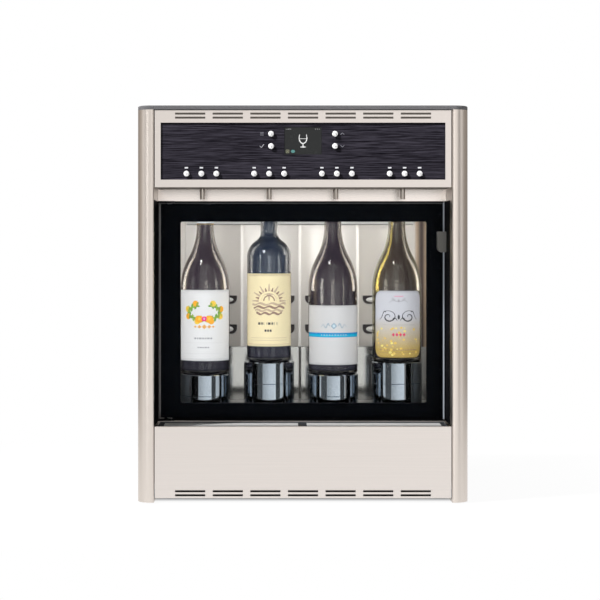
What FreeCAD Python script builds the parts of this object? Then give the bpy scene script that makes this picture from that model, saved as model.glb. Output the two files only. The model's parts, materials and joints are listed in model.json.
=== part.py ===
import FreeCAD, Part
import math
import os

import Sketcher
from FreeCAD import Placement, Rotation, Vector

# Four-bottle wine preservation dispenser, free standing, in millimetres.
# X runs to the right, Y from the front to the back, Z up from the floor.
# The origin is on the floor in the middle of the outer box.

doc = FreeCAD.newDocument("WineDispenser")
sheet = doc.addObject("Spreadsheet::Sheet", "Sizes")

DRIVING = [
    # enclosure
    ("bodyWidth", 560, "over the side panels"),
    ("bodyDepth", 380, "pillar fronts to rear panel"),
    ("bodyHeight", 672, "floor to the top of the cover"),
    ("sheetGauge", 1.5, "steel of the panels"),
    ("seatGap", 0.3, "clearance between seated pieces"),
    ("coverHeight", 7, "edge of the top cover"),
    ("coverGauge", 2, "wall of the top cover"),
    ("coverRounding", 2.5, "rounded top edge of the cover"),
    ("pillarWidth", 28.5, "front pillar, seen from the front"),
    ("pillarRadius", 24, "outer corner of a front pillar"),
    ("pillarNose", 3, "inner corner of a front pillar"),
    ("pillarReturn", 112, "inner face of a pillar, front to back"),
    ("panelLift", 2, "floor to the lower edge of the side panels"),
    ("rearVentLength", 90, "slot in the rear panel"),
    ("rearVentHeight", 4, "slot in the rear panel"),
    ("rearVentPitch", 10, "between rows of rear slots"),
    ("rearVentDrop", 142, "cover's top to the lowest row of rear slots"),
    ("rearVentInset", 130, "middle of the rear slots from the body's side"),
    ("guardSlot", 9, "slot of the fan guard"),
    ("guardSlots", 12, "number of slots of the fan guard"),
    # base
    ("footHeight", 10.5, "rubber foot"),
    ("footRadius", 16, "rubber foot"),
    ("footInset", 84, "foot centre from the outer faces"),
    ("panFlange", 22, "turned-up edge of the base pan"),
    ("stripTop", 24, "upper edge of the lower vent strip"),
    ("stripSetback", 1.5, "strip behind the lower panel"),
    ("stripEndGap", 1.5, "strip end to pillar"),
    ("stripFlange", 22, "strip's flange under the base pan"),
    # front
    ("faceInset", 3, "front panels behind the pillar fronts"),
    ("panelEndGap", 1, "lower panel end to pillar"),
    ("fasciaEndGap", 1.2, "fascia end to pillar"),
    ("fasciaHeadGap", 1.2, "fascia to the cover over it"),
    ("fasciaDrop", 138, "cover's top to the underside of the fascia"),
    ("fasciaDepth", 90, "front to back of the fascia's underside"),
    ("slotLength", 51, "front vent slot"),
    ("slotHeight", 3.4, "front vent slot"),
    ("slotInset", 89.5, "middle of an outer vent slot from the body's side"),
    ("slotRowPitch", 6.8, "between the two rows"),
    ("slotMargin", 3.9, "upper slot from the edge of its panel"),
    ("stripSlotMargin", 1.6, "upper slot from the strip's top"),
    ("ledgeTop", 130.5, "top of the lower front panel"),
    ("basinDepth", 33, "drip basin"),
    ("basinLip", 4, "front lip of the drip basin"),
    ("basinLength", 79, "drip basin, lip to rear wall"),
    ("ledgeBend", 2, "rounded top bend of the lower panel"),
    # controls
    ("plateInset", 39.7, "opening for the control plate from the body's side"),
    ("plateRise", 12.7, "underside of the fascia to the plate's opening"),
    ("plateHeight", 96.3, "opening for the control plate"),
    ("plateLap", 3.5, "plate behind the edge of its opening"),
    ("plateGauge", 2, "control plate"),
    ("screenWidth", 63, "display window"),
    ("screenHeight", 46.5, "display window"),
    ("screenRise", 65.7, "display centre above the plate's opening edge"),
    ("screenInset", 0.5, "display face behind the plate's face"),
    ("displayLap", 5, "display housing beyond its window"),
    ("displayDepth", 8, "display housing"),
    ("buttonRadius", 4.6, "push button"),
    ("buttonStand", 4, "button in front of the plate"),
    ("buttonDome", 1.6, "height of the button's dome"),
    ("buttonTravel", 1.5, "how far a button presses"),
    ("buttonFlange", 6.2, "radius of the button's retaining flange"),
    ("flangeGauge", 1.2, "button's retaining flange"),
    ("stemRadius", 2.4, "button's stem"),
    ("stemLength", 3, "button's stem"),
    ("pourButtonRise", 10.3, "pour buttons above the plate's opening edge"),
    ("pourButtonPitch", 25.3, "between the buttons of one bottle"),
    ("menuButtonOffset", 54, "menu buttons from the middle"),
    ("menuButtonRise", 56.8, "lower menu buttons above the plate's opening edge"),
    ("menuButtonPitch", 20.8, "between the rows of menu buttons"),
    ("lensWidth", 5.6, "indicator above a pour button"),
    ("lensHeight", 2.4, "indicator above a pour button"),
    ("lensRise", 10, "indicator above its button"),
    ("lensPlay", 0.15, "indicator in its slot"),
    ("boardGauge", 1.6, "circuit board"),
    ("switchDepth", 4.5, "tactile switch"),
    ("switchWidth", 6, "tactile switch"),
    ("standoffRadius", 3, "board standoff"),
    # bottles and their lifts
    ("bottleInset", 108.4, "outer bottle axis from the body's side"),
    ("bottleSetback", 170, "bottle axis behind the front"),
    ("platformRise", 57, "cabinet floor to the platforms under tall bottles"),
    ("platformStep", 22, "how much higher the other platforms stand"),
    ("platformRadius", 45, "bottle platform"),
    ("platformSkirt", 90, "height of the platform"),
    ("platformWall", 4, "wall of the platform"),
    ("platformTopWall", 8, "top wall of the platform"),
    ("platformEdge", 1.5, "chamfer round the platform's top"),
    ("grooveDepth", 0.7, "groove round the platform"),
    ("grooveDrop", 38, "groove below the platform's top"),
    ("liftTravel", 30, "how far a platform sinks"),
    ("rodRadius", 9, "piston rod"),
    ("rodLength", 125, "piston rod below the platform's top"),
    ("rodPlay", 0.3, "piston rod in its cylinder"),
    ("cylinderRadius", 24, "lift cylinder"),
    ("cylinderDrop", 30, "cabinet floor to the top of the lift cylinders"),
    ("rodRest", 22, "bottom of the cylinder bore to a lowered piston rod"),
    ("mouthDrop", 12, "underside of the fascia to a raised bottle's mouth"),
    ("mouthBore", 9.6, "bore of a bottle's mouth"),
    ("glassWall", 3, "bottle glass"),
    ("neckRadius", 15, "bottle neck"),
    ("lipStand", 0.9, "lip beyond the neck"),
    ("lipHeight", 16, "lip of a bottle"),
    ("punt", 24, "hollow under a bottle"),
    ("heelRadius", 6, "bottom corner of a bottle"),
    ("slopedRadius", 44, "sloped-shoulder bottle"),
    ("slopedDrop", 163, "mouth to the start of a sloped shoulder"),
    ("slopedSweep", 117, "both arcs of a sloped shoulder"),
    ("squareRadius", 39.5, "square-shouldered bottle"),
    ("squareDrop", 107, "mouth to the start of a square shoulder"),
    ("squareSweep", 36, "outer arc of a square shoulder"),
    ("squareNeckSweep", 18, "inner arc of a square shoulder"),
    # taps
    ("headRadius", 26, "tap head"),
    ("headRise", 22, "underside of the fascia to the top of the tap heads"),
    ("headBore", 17.5, "socket for a bottle's lip"),
    ("headSocketRise", 2, "bottle's mouth to the top of that socket"),
    ("sealRadius", 9.2, "stopper at the mouth"),
    ("sealTip", 7.6, "lower end of the stopper"),
    ("sealLength", 15, "stopper inside the mouth"),
    ("tubeRadius", 3, "dip tube"),
    ("tubeBore", 2, "dip tube"),
    ("tubeLift", 10, "dip tube above the punt"),
    ("spoutRadius", 4.2, "spout"),
    ("spoutBore", 3, "spout"),
    ("spoutRise", 15, "underside of the fascia to the spout's run inside it"),
    ("spoutBend", 12, "radius of the spout's bend"),
    ("spoutReach", 45, "spout axis behind the front"),
    ("spoutDrop", 19, "underside of the fascia to the end of the spouts"),
    ("railDrop", 21, "underside of the fascia to the tap rail's lower edge"),
    ("railSetback", 90, "tap rail behind the front"),
    ("railFlange", 20, "tap rail's lower flange"),
    ("manifoldWidth", 380, "gas manifold"),
    ("manifoldDepth", 26, "gas manifold"),
    ("manifoldHeight", 24, "gas manifold"),
    ("gasTubeRadius", 4, "gas line"),
    ("fittingRadius", 9, "gas inlet fitting"),
    ("fittingLength", 18, "gas inlet fitting"),
    ("fittingBore", 3.1, "gas inlet for a 6 mm tube"),
    ("fittingBoreLength", 15, "gas inlet for a 6 mm tube"),
    ("portDepth", 12, "spout's end inside its tap head"),
    ("portPlay", 0.05, "tubes in the tap head"),
    # door
    ("doorInset", 32, "door glass from the body's side"),
    ("doorFootGap", 3.5, "lower front panel to the door glass"),
    ("doorHeadGap", 3, "door glass to the tap rail"),
    ("glassGauge", 4, "one pane"),
    ("doorFrameDepth", 18, "frame behind the front pane"),
    ("paneMargin", 2, "front pane beyond its frame"),
    ("leftBorder", 36, "black border of the glass beside its hinges"),
    ("rightBorder", 30, "black border of the glass beside its handle"),
    ("lowerBorder", 26.6, "black border under the window"),
    ("upperBorder", 32.4, "black border over the window"),
    ("windowCorner", 3, "corner of the window"),
    ("paneRebate", 6, "lap of the inner pane"),
    ("gasketDepth", 3.8, "door gasket"),
    ("gasketWidth", 10, "door gasket"),
    ("hingeInset", 10.5, "hinge axis from the edge of the glass"),
    ("hingeSetback", 7.5, "hinge axis behind the face of the glass"),
    ("pinRadius", 2.5, "hinge pin"),
    ("pinPlay", 0.08, "hinge pin in the door"),
    ("pinReach", 12, "hinge pin inside the door"),
    ("hingePlate", 2, "hinge plate"),
    ("hingePlateWidth", 22, "hinge plate"),
    ("hingePlateDepth", 20, "hinge plate"),
    ("surroundGauge", 0.8, "black strip beside the door"),
    ("surroundFront", 35, "that strip by the handle, behind the front"),
    ("hingeStripFront", 4, "that strip by the hinges, behind the front"),
    ("handleWidth", 15, "door handle"),
    ("handleHeight", 36, "door handle"),
    ("handleDrop", 86, "top of the glass to the handle's lower edge"),
    ("handleStand", 18, "handle in front of the glass"),
    ("handleCorner", 9, "lower corner of the handle"),
    ("handleOverhang", 1.6, "handle beyond the edge of the glass"),
    # cabinet
    ("linerInset", 45, "inside of the cabinet from the body's side"),
    ("linerGauge", 2, "cabinet liner"),
    ("floorRise", 19.5, "top of the lower front panel to the cabinet floor"),
    ("ceilingDrop", 26, "underside of the fascia to the cabinet ceiling"),
    ("serviceDepth", 69.9, "inside of the cabinet to the back of the body"),
    ("mouthInset", 10.5, "cabinet opening from its side walls"),
    ("mouthSill", 2, "cabinet opening above the cabinet floor"),
    ("mouthHead", 14, "cabinet opening below the cabinet ceiling"),
    ("platformPlay", 0.6, "platform in the cabinet floor"),
    ("neckHole", 24, "hole for a neck in the ceiling"),
    ("foamGauge", 13, "insulation"),
    ("ridgeStand", 40.1, "back panel ridges in front of the liner's rear wall"),
    ("ridgeWidth", 5, "ridge between hollows of the back panel"),
    ("nicheRadius", 90, "hollow of the back panel"),
    ("wingRise", 18, "back panel's side wings towards the front"),
    ("wingInset", 21, "width of a side wing"),
    ("louvreMargin", 6, "air opening from the edges of its hollow"),
    ("louvreCorner", 12, "lower corners of an air opening"),
    ("upperLouvreRise", 78.5, "lower back panels to the upper air openings"),
    ("upperLouvreHeight", 15.9, "upper air openings"),
    ("lowerLouvreRise", 22.9, "lower back panels to the lower air openings"),
    ("lowerLouvreHeight", 17.9, "lower air openings"),
    ("lowerBackHeight", 99, "lower back panels"),
    ("centreJoint", 5, "gap between the lower back panels"),
    ("barDrop", 33, "cabinet ceiling to the bottom of the light bar"),
    ("barHeight", 14, "light bar"),
    ("barDepth", 13, "light bar"),
    ("barInset", 4, "end of the light bar to a side wing"),
    # drip tray
    ("trayInset", 34, "drip tray from the body's side"),
    ("trayWall", 2, "drip tray"),
    ("trayRecess", 0.8, "tray's rim below the ledge"),
    ("grilleFront", 32, "grille behind the front"),
    ("grilleDepth", 30, "grille, front to back"),
    ("grilleGauge", 2.5, "grille"),
    ("grilleEnd", 9.5, "grille's outer end from the tray's end"),
    ("grilleSplit", 15, "gap between the two grilles"),
    ("drainPitch", 56.5, "between drain holes"),
    ("drainFirst", 64.6, "first drain hole from the middle"),
    ("drainRadius", 3.6, "drain hole"),
    ("trayPlay", 0.5, "drip tray in its basin"),
    ("ribWidth", 2, "rib under the grilles"),
    ("ribInset", 1, "rib from the edge of the grilles"),
    # cooling and power
    ("fanSize", 120, "fan frame"),
    ("fanDepth", 25, "fan frame"),
    ("fanDrop", 118, "cabinet ceiling to the fan axis"),
    ("fanBore", 57.5, "fan opening"),
    ("hubRadius", 20, "fan hub"),
    ("bladeReach", 56, "tip of the fan blades"),
    ("fanShaft", 2, "fan shaft"),
    ("shaftPlay", 0.05, "fan shaft in its bearing"),
    ("sinkBase", 4, "heat sink base"),
    ("finHeight", 18, "heat sink fin"),
    ("finGauge", 1.5, "heat sink fin"),
    ("finPitch", 9.5, "between fins"),
    ("finCount", 13, "number of fins"),
    ("bladeCount", 7, "blades of the fan rotor"),
    ("bladeAngle", 35, "degrees between a blade and the fan axis"),
    ("spokeWidth", 6, "spoke of the fan frame"),
    ("inletWidth", 48, "power inlet flange"),
    ("inletHeight", 30, "power inlet flange"),
    ("inletLevel", 60, "power inlet above the floor"),
    ("inletInset", 80, "power inlet from the body's side"),
    ("inletDepth", 24, "power inlet"),
    ("inletWall", 5, "wall round the power inlet's socket"),
    ("inletSocket", 18, "depth of the power inlet's socket"),
    ("bladeWidth", 4, "contact of the power inlet"),
    ("bladeGauge", 2, "contact of the power inlet"),
    ("bladePitch", 7, "between contacts of the power inlet"),
]

for row, (alias, number, note) in enumerate(DRIVING, start=1):
    sheet.set(f"A{row}", note)
    sheet.set(f"B{row}", str(number))
    sheet.setAlias(f"B{row}", alias)
doc.recompute()


class Size:
    """A length with its number and the sheet formula that gives it."""

    def __init__(self, formula, number):
        self.formula = formula
        self.number = number

    def join(self, other, sign, number, turned=False):
        pair = [self.formula, formula_of(other)]
        if turned:
            pair.reverse()
        return Size(f"({pair[0]} {sign} {pair[1]})", number)

    def __add__(self, other):
        return self.join(other, "+", self.number + number_of(other))

    def __radd__(self, other):
        return self.join(other, "+", number_of(other) + self.number, turned=True)

    def __sub__(self, other):
        return self.join(other, "-", self.number - number_of(other))

    def __rsub__(self, other):
        return self.join(other, "-", number_of(other) - self.number, turned=True)

    def __mul__(self, other):
        return self.join(other, "*", self.number * number_of(other))

    def __rmul__(self, other):
        return self.join(other, "*", number_of(other) * self.number, turned=True)

    def __truediv__(self, other):
        return self.join(other, "/", self.number / number_of(other))

    def __neg__(self):
        return Size(f"(-1 * {self.formula})", -self.number)


def formula_of(value):
    return value.formula if isinstance(value, Size) else f"({value:.6f})"


def number_of(value):
    return value.number if isinstance(value, Size) else float(value)


def root(value):
    return Size(f"sqrt({value.formula})", math.sqrt(value.number))


class Named:
    """The driving sizes, each under its own name."""


s = Named()
for alias, number, note in DRIVING:
    setattr(s, alias, Size(f"Sizes.{alias}", float(sheet.get(alias))))

# Upper levels hang from the cover, the fascia's underside carries the taps, the door and the cabinet.
s.fasciaBottom = s.bodyHeight - s.fasciaDrop
s.rearVentLevel = s.bodyHeight - s.rearVentDrop
s.plateBottom = s.fasciaBottom + s.plateRise
s.plateTop = s.plateBottom + s.plateHeight
s.screenMiddle = s.plateBottom + s.screenRise
s.pourButtonLevel = s.plateBottom + s.pourButtonRise
s.menuLowerLevel = s.plateBottom + s.menuButtonRise
s.menuUpperLevel = s.menuLowerLevel + s.menuButtonPitch
s.mouthLevel = s.fasciaBottom - s.mouthDrop
s.headTop = s.fasciaBottom + s.headRise
s.headSocketTop = s.mouthLevel + s.headSocketRise
s.spoutLevel = s.fasciaBottom + s.spoutRise
s.spoutTip = s.fasciaBottom - s.spoutDrop
s.railBottom = s.fasciaBottom - s.railDrop
s.doorTop = s.railBottom - s.doorHeadGap
s.windowTop = s.doorTop - s.upperBorder
s.handleBottom = s.doorTop - s.handleDrop
s.linerCeiling = s.fasciaBottom - s.ceilingDrop
s.mouthTop = s.linerCeiling - s.mouthHead
s.barBottom = s.linerCeiling - s.barDrop
s.fanLevel = s.linerCeiling - s.fanDrop

# Lower levels stand on the top of the lower front panel.
s.doorBottom = s.ledgeTop + s.doorFootGap
s.windowBottom = s.doorBottom + s.lowerBorder
s.linerFloor = s.ledgeTop + s.floorRise
s.mouthBottom = s.linerFloor + s.mouthSill
s.lowPlatform = s.linerFloor + s.platformRise
s.highPlatform = s.lowPlatform + s.platformStep
s.cylinderTop = s.linerFloor - s.cylinderDrop
s.cylinderFloor = s.lowPlatform - s.rodLength - s.liftTravel - s.rodRest
s.seamLevel = s.linerFloor + s.lowerBackHeight
s.lowerLouvreBottom = s.seamLevel + s.lowerLouvreRise
s.lowerLouvreTop = s.lowerLouvreBottom + s.lowerLouvreHeight
s.upperLouvreBottom = s.seamLevel + s.upperLouvreRise
s.upperLouvreTop = s.upperLouvreBottom + s.upperLouvreHeight

# Widths are measured in from the body's sides, depths from its front and back.
s.slotPitch = (s.bodyWidth - 2 * s.slotInset) / 6
s.plateWidth = s.bodyWidth - 2 * s.plateInset
s.bottlePitch = (s.bodyWidth - 2 * s.bottleInset) / 3
s.doorHalfWidth = s.bodyWidth / 2 - s.doorInset
s.windowLeft = s.doorHalfWidth - s.leftBorder
s.windowRight = s.doorHalfWidth - s.rightBorder
s.linerHalfWidth = s.bodyWidth / 2 - s.linerInset
s.nichePitch = (s.linerHalfWidth - s.wingInset) / 2
s.nicheWidth = s.nichePitch - s.ridgeWidth
s.louvreHalfWidth = s.nicheWidth / 2 - s.louvreMargin
s.trayHalfWidth = s.bodyWidth / 2 - s.trayInset
s.inletOffset = s.bodyWidth / 2 - s.inletInset
s.rearVentOffset = s.bodyWidth / 2 - s.rearVentInset
s.bottleAxis = s.bottleSetback - s.bodyDepth / 2

nodes = {}


def keep(label, item):
    item.Label = label
    nodes[label] = item
    return item


def bind(item, prop, value):
    item.setExpression(prop, formula_of(value))


# Part primitives and booleans


def block(x, y, z):
    item = doc.addObject("Part::Box", "Block")
    for prop, span in (("Length", x), ("Width", y), ("Height", z)):
        bind(item, prop, span[1] - span[0])
    for axis, span in (("x", x), ("y", y), ("z", z)):
        bind(item, f"Placement.Base.{axis}", span[0])
    return item


TURNS = {
    "X": Rotation(Vector(0, 1, 0), 90),
    "Y": Rotation(Vector(1, 0, 0), -90),
    "Z": Rotation(),
}


def place(item, axis, x, y, z):
    item.Placement = Placement(Vector(), TURNS[axis])
    for name, value in (("x", x), ("y", y), ("z", z)):
        bind(item, f"Placement.Base.{name}", value)
    return item


def rod(axis, x, y, z, radius, length):
    item = doc.addObject("Part::Cylinder", "Rod")
    bind(item, "Radius", radius)
    bind(item, "Height", length)
    return place(item, axis, x, y, z)


def cut(base, *tools):
    item = doc.addObject("Part::Cut", "Cut")
    item.Base = base
    item.Tool = tools[0] if len(tools) == 1 else fuse(*tools)
    return item


def fuse(*parts):
    item = doc.addObject("Part::MultiFuse", "Fuse")
    item.Shapes = list(parts)
    return item


def group(*parts):
    item = doc.addObject("Part::Compound", "Group")
    item.Links = list(parts)
    return item


# PartDesign bodies


def new_body(label):
    return keep(label, doc.addObject("PartDesign::Body", "Body"))


def origin_part(body, role):
    return next(f for f in body.Origin.OriginFeatures if f.Role == role)


def draw_outline(sketch, corners):
    """Closed outline. A corner is (a, b), or (a, b, side, radius) where an arc leaves it."""
    count = len(corners)
    ends = []
    for i, corner in enumerate(corners):
        start = Vector(number_of(corner[0]), number_of(corner[1]), 0)
        after = corners[(i + 1) % count]
        end = Vector(number_of(after[0]), number_of(after[1]), 0)
        if len(corner) == 2:
            geo = sketch.addGeometry(Part.LineSegment(start, end), False)
            ends.append((geo, 1, 2))
            continue
        side, radius = corner[2], corner[3]
        half = (end - start) / 2
        reach = math.sqrt(max(number_of(radius) ** 2 - half.Length**2, 0))
        across = Vector(-half.y, half.x, 0).normalize()
        centre = start + half + across * (reach if side == "left" else -reach)
        first, last = (start, end) if side == "left" else (end, start)
        angles = [math.atan2(p.y - centre.y, p.x - centre.x) for p in (first, last)]
        circle = Part.Circle(centre, Vector(0, 0, 1), number_of(radius))
        geo = sketch.addGeometry(Part.ArcOfCircle(circle, *angles), False)
        limit = sketch.addConstraint(Sketcher.Constraint("Radius", geo, number_of(radius)))
        sketch.setExpression(f"Constraints[{limit}]", formula_of(radius))
        ends.append((geo, 1, 2) if side == "left" else (geo, 2, 1))
    for i, (geo, first, last) in enumerate(ends):
        after = ends[(i + 1) % count]
        sketch.addConstraint(Sketcher.Constraint("Coincident", geo, last, after[0], after[1]))
        for kind, value in (("DistanceX", corners[i][0]), ("DistanceY", corners[i][1])):
            made = Sketcher.Constraint(kind, -1, 1, geo, first, number_of(value))
            limit = sketch.addConstraint(made)
            sketch.setExpression(f"Constraints[{limit}]", formula_of(value))


def draw_circle(sketch, a, b, radius):
    middle = Vector(number_of(a), number_of(b), 0)
    circle = Part.Circle(middle, Vector(0, 0, 1), number_of(radius))
    geo = sketch.addGeometry(circle, False)
    limits = [
        (Sketcher.Constraint("Radius", geo, number_of(radius)), radius),
        (Sketcher.Constraint("DistanceX", -1, 1, geo, 3, number_of(a)), a),
        (Sketcher.Constraint("DistanceY", -1, 1, geo, 3, number_of(b)), b),
    ]
    for made, value in limits:
        limit = sketch.addConstraint(made)
        sketch.setExpression(f"Constraints[{limit}]", formula_of(value))


def new_sketch(body, plane, level, loops):
    """Sketch on an origin plane moved to a level; XZ sketches face the front."""
    sketch = body.newObject("Sketcher::SketchObject", "Sketch")
    sketch.AttachmentSupport = [(origin_part(body, f"{plane}_Plane"), "")]
    sketch.MapMode = "FlatFace"
    bind(sketch, "AttachmentOffset.Base.z", -level if plane == "XZ" else level)
    for loop in loops:
        if isinstance(loop, tuple):
            draw_circle(sketch, *loop)
        else:
            draw_outline(sketch, loop)
    return sketch


def pad(body, plane, loops, low, high):
    sketch = new_sketch(body, plane, high if plane == "XZ" else low, loops)
    feature = body.newObject("PartDesign::Pad", "Pad")
    feature.Profile = sketch
    bind(feature, "Length", high - low)
    doc.recompute()
    return feature


def pocket(body, plane, loops, low, high):
    before = body.Shape.Volume
    sketch = new_sketch(body, plane, low if plane == "XZ" else high, loops)
    feature = body.newObject("PartDesign::Pocket", "Pocket")
    feature.Profile = sketch
    bind(feature, "Length", high - low)
    doc.recompute()
    if body.Shape.Volume > before - 0.01:
        raise RuntimeError(f"{body.Label}: a pocket cut nothing")
    return feature


def revolve(body, plane, outline, axis):
    sketch = new_sketch(body, plane, Size("0", 0.0), [outline])
    feature = body.newObject("PartDesign::Revolution", "Revolution")
    feature.Profile = sketch
    feature.ReferenceAxis = (origin_part(body, f"{axis}_Axis"), [""])
    feature.Angle = 360
    doc.recompute()
    return feature


def repeat(body, feature, axis, count, pitch):
    row = body.newObject("PartDesign::LinearPattern", "Row")
    row.Originals = [feature]
    row.Direction = (origin_part(body, f"{axis}_Axis"), [""])
    bind(row, "Length", pitch * (count - 1))
    row.Occurrences = count
    body.Tip = row
    doc.recompute()
    return row


def round_edges(body, radius, chosen):
    """Rounds the edges whose middle and direction the given test accepts."""
    tip = body.Tip
    names = []
    for i, edge in enumerate(tip.Shape.Edges, start=1):
        middle = edge.CenterOfMass
        along = edge.tangentAt((edge.FirstParameter + edge.LastParameter) / 2)
        if chosen(middle, along):
            names.append(f"Edge{i}")
    if not names:
        raise RuntimeError(f"{body.Label}: no edge to round")
    feature = body.newObject("PartDesign::Fillet", "Fillet")
    feature.Base = (tip, names)
    bind(feature, "Radius", radius)
    doc.recompute()
    return feature


def rectangle(a, b):
    return [(a[0], b[0]), (a[1], b[0]), (a[1], b[1]), (a[0], b[1])]


def near(value, size, slack=0.2):
    return abs(value - number_of(size)) < slack


def upright(along):
    return abs(along.z) > 0.99


# Levels and planes that several pieces share

front = -s.bodyDepth / 2
back = s.bodyDepth / 2
side = s.bodyWidth / 2
gauge = s.sheetGauge
pillarInside = side - s.pillarWidth
coverBottom = s.bodyHeight - s.coverHeight
face = front + s.faceInset
plateFace = face + gauge
plateBack = plateFace + s.plateGauge
fasciaTop = coverBottom - s.fasciaHeadGap
panTop = s.footHeight + gauge
glassFace = front + s.railSetback
glassBack = glassFace + s.glassGauge
frameBack = glassBack + s.doorFrameDepth
linerFront = frameBack + s.gasketDepth + s.seatGap
linerBack = back - s.serviceDepth
ridge = linerBack - s.ridgeStand
rearFace = back - gauge
bottles = range(4)


def bottle_x(i):
    return s.bottlePitch * (i - 1.5)


def span(middle, width):
    return (middle - width / 2, middle + width / 2)


def mirrored(value):
    return (-value, value)


# Enclosure


def side_panel(label, sign):
    """Outer skin, rounded front pillar and the pillar's inner return, one folded sheet."""
    outer, inner = sign * side, sign * pillarInside
    skin = sign * gauge
    deep = front + s.pillarReturn
    outline = [
        (outer, rearFace),
        (outer, front),
        (inner, front),
        (inner, deep),
        (inner + skin, deep),
        (inner + skin, front + gauge),
        (outer - skin, front + gauge),
        (outer - skin, rearFace),
    ]
    body = new_body(label)
    pad(body, "XY", [outline], s.panelLift, coverBottom)
    corners = (
        (outer, front, s.pillarRadius),
        (outer - skin, front + gauge, s.pillarRadius - gauge),
        (inner, front, s.pillarNose),
        (inner + skin, front + gauge, s.pillarNose - gauge),
    )
    for x, y, radius in corners:
        round_edges(
            body, radius, lambda m, a, x=x, y=y: upright(a) and near(m.x, x) and near(m.y, y)
        )


side_panel("left_side_panel", -1)
side_panel("right_side_panel", 1)

cover = new_body("top_cover")
pad(cover, "XY", [rectangle(mirrored(side), (front, back))], coverBottom, s.bodyHeight)
round_edges(cover, s.pillarRadius, lambda m, a: upright(a) and near(m.y, front))
round_edges(cover, s.coverRounding, lambda m, a: near(m.z, s.bodyHeight) and not near(m.y, back))
coverInside = side - s.coverGauge
coverFront = front + s.coverGauge
coverCorner = s.pillarRadius - s.coverGauge
coverHollow = [
    (-coverInside, back - s.coverGauge),
    (-coverInside, coverFront + coverCorner, "left", coverCorner),
    (-coverInside + coverCorner, coverFront),
    (coverInside - coverCorner, coverFront, "left", coverCorner),
    (coverInside, coverFront + coverCorner),
    (coverInside, back - s.coverGauge),
]
pocket(cover, "XY", [coverHollow], coverBottom, s.bodyHeight - s.coverGauge)


def guard_slot(turn):
    """One radial slot of the fan guard, turned about the fan axis."""
    along, across = math.cos(turn), math.sin(turn)
    corners = []
    for reach, half in (
        (s.hubRadius, -s.guardSlot / 2),
        (s.bladeReach, -s.guardSlot / 2),
        (s.bladeReach, s.guardSlot / 2),
        (s.hubRadius, s.guardSlot / 2),
    ):
        corners.append(
            (reach * along - half * across, s.fanLevel + reach * across + half * along)
        )
    return corners


rear = new_body("rear_panel")
pad(rear, "XZ", [rectangle(mirrored(side), (s.panelLift, coverBottom))], rearFace, back)
ventRow = (s.rearVentLevel, s.rearVentLevel + s.rearVentHeight)
rearVents = [
    rectangle(span(sign * s.rearVentOffset, s.rearVentLength), ventRow) for sign in (-1, 1)
]
rearVent = pocket(rear, "XZ", rearVents, rearFace, back)
repeat(rear, rearVent, "Z", 10, s.rearVentPitch)
guardSlots = round(s.guardSlots.number)
guard = [guard_slot(2 * math.pi * k / guardSlots) for k in range(guardSlots)]
pocket(rear, "XZ", guard, rearFace, back)
gasLevel = s.headTop + s.manifoldHeight / 2
inletHole = rectangle(
    span(s.inletOffset, s.inletWidth + 2 * s.seatGap),
    span(s.inletLevel, s.inletHeight + 2 * s.seatGap),
)
centre = Size("0", 0.0)
gasHole = (centre, gasLevel, s.fittingRadius + s.seatGap)
pocket(rear, "XZ", [gasHole, inletHole], rearFace, back)

panHalf = pillarInside - s.seatGap
panFront = face + s.stripSetback + gauge
panFloor = (s.footHeight, panTop)
panRaised = (panTop, panTop + s.panFlange)
keep(
    "base_pan",
    fuse(
        block(mirrored(panHalf), (panFront, rearFace), panFloor),
        block((-panHalf, -panHalf + gauge), (panFront, rearFace), panRaised),
        block((panHalf - gauge, panHalf), (panFront, rearFace), panRaised),
        block(mirrored(panHalf), (rearFace - gauge, rearFace), panRaised),
    ),
)

footX = side - s.footInset
footY = (front + s.footInset, back - s.footInset)
keep(
    "feet",
    group(
        *[
            rod("Z", sign * footX, y, centre, s.footRadius, s.footHeight)
            for sign in (-1, 1)
            for y in footY
        ]
    ),
)


# Front


def vent_slots(body, top, low, high):
    """Two rows of seven horizontal slots under a level, through a front panel."""
    upper = (top - s.slotHeight, top)
    lower = (upper[0] - s.slotRowPitch, upper[1] - s.slotRowPitch)
    first = span(s.slotPitch * -3, s.slotLength)
    slots = pocket(body, "XZ", [rectangle(first, upper), rectangle(first, lower)], low, high)
    repeat(body, slots, "X", 7, s.slotPitch)


fasciaHalf = pillarInside - s.fasciaEndGap
fasciaBack = face + s.fasciaDepth
fascia = new_body("upper_fascia")
pad(fascia, "XZ", [rectangle(mirrored(fasciaHalf), (s.fasciaBottom, fasciaTop))], face, fasciaBack)
pocket(
    fascia,
    "XZ",
    [rectangle(mirrored(fasciaHalf - gauge), (s.fasciaBottom + gauge, fasciaTop - gauge))],
    plateFace,
    fasciaBack,
)
plateOpening = rectangle(mirrored(s.plateWidth / 2), (s.plateBottom, s.plateTop))
pocket(fascia, "XZ", [plateOpening], face, plateFace)
vent_slots(fascia, fasciaTop - s.slotMargin, face, plateFace)
spoutY = front + s.spoutReach
spoutHole = (bottle_x(0), spoutY, s.spoutRadius + s.seatGap)
spoutHoles = pocket(fascia, "XY", [spoutHole], s.fasciaBottom, s.fasciaBottom + gauge)
repeat(fascia, spoutHoles, "X", 4, s.bottlePitch)

rail = new_body("tap_rail")
railTop = s.fasciaBottom - s.seatGap
railOutline = [
    (glassFace, s.railBottom),
    (glassFace + gauge + s.railFlange, s.railBottom),
    (glassFace + gauge + s.railFlange, s.railBottom + gauge),
    (glassFace + gauge, s.railBottom + gauge),
    (glassFace + gauge, railTop),
    (glassFace, railTop),
]
pad(rail, "YZ", [railOutline], -panHalf, panHalf)

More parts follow.
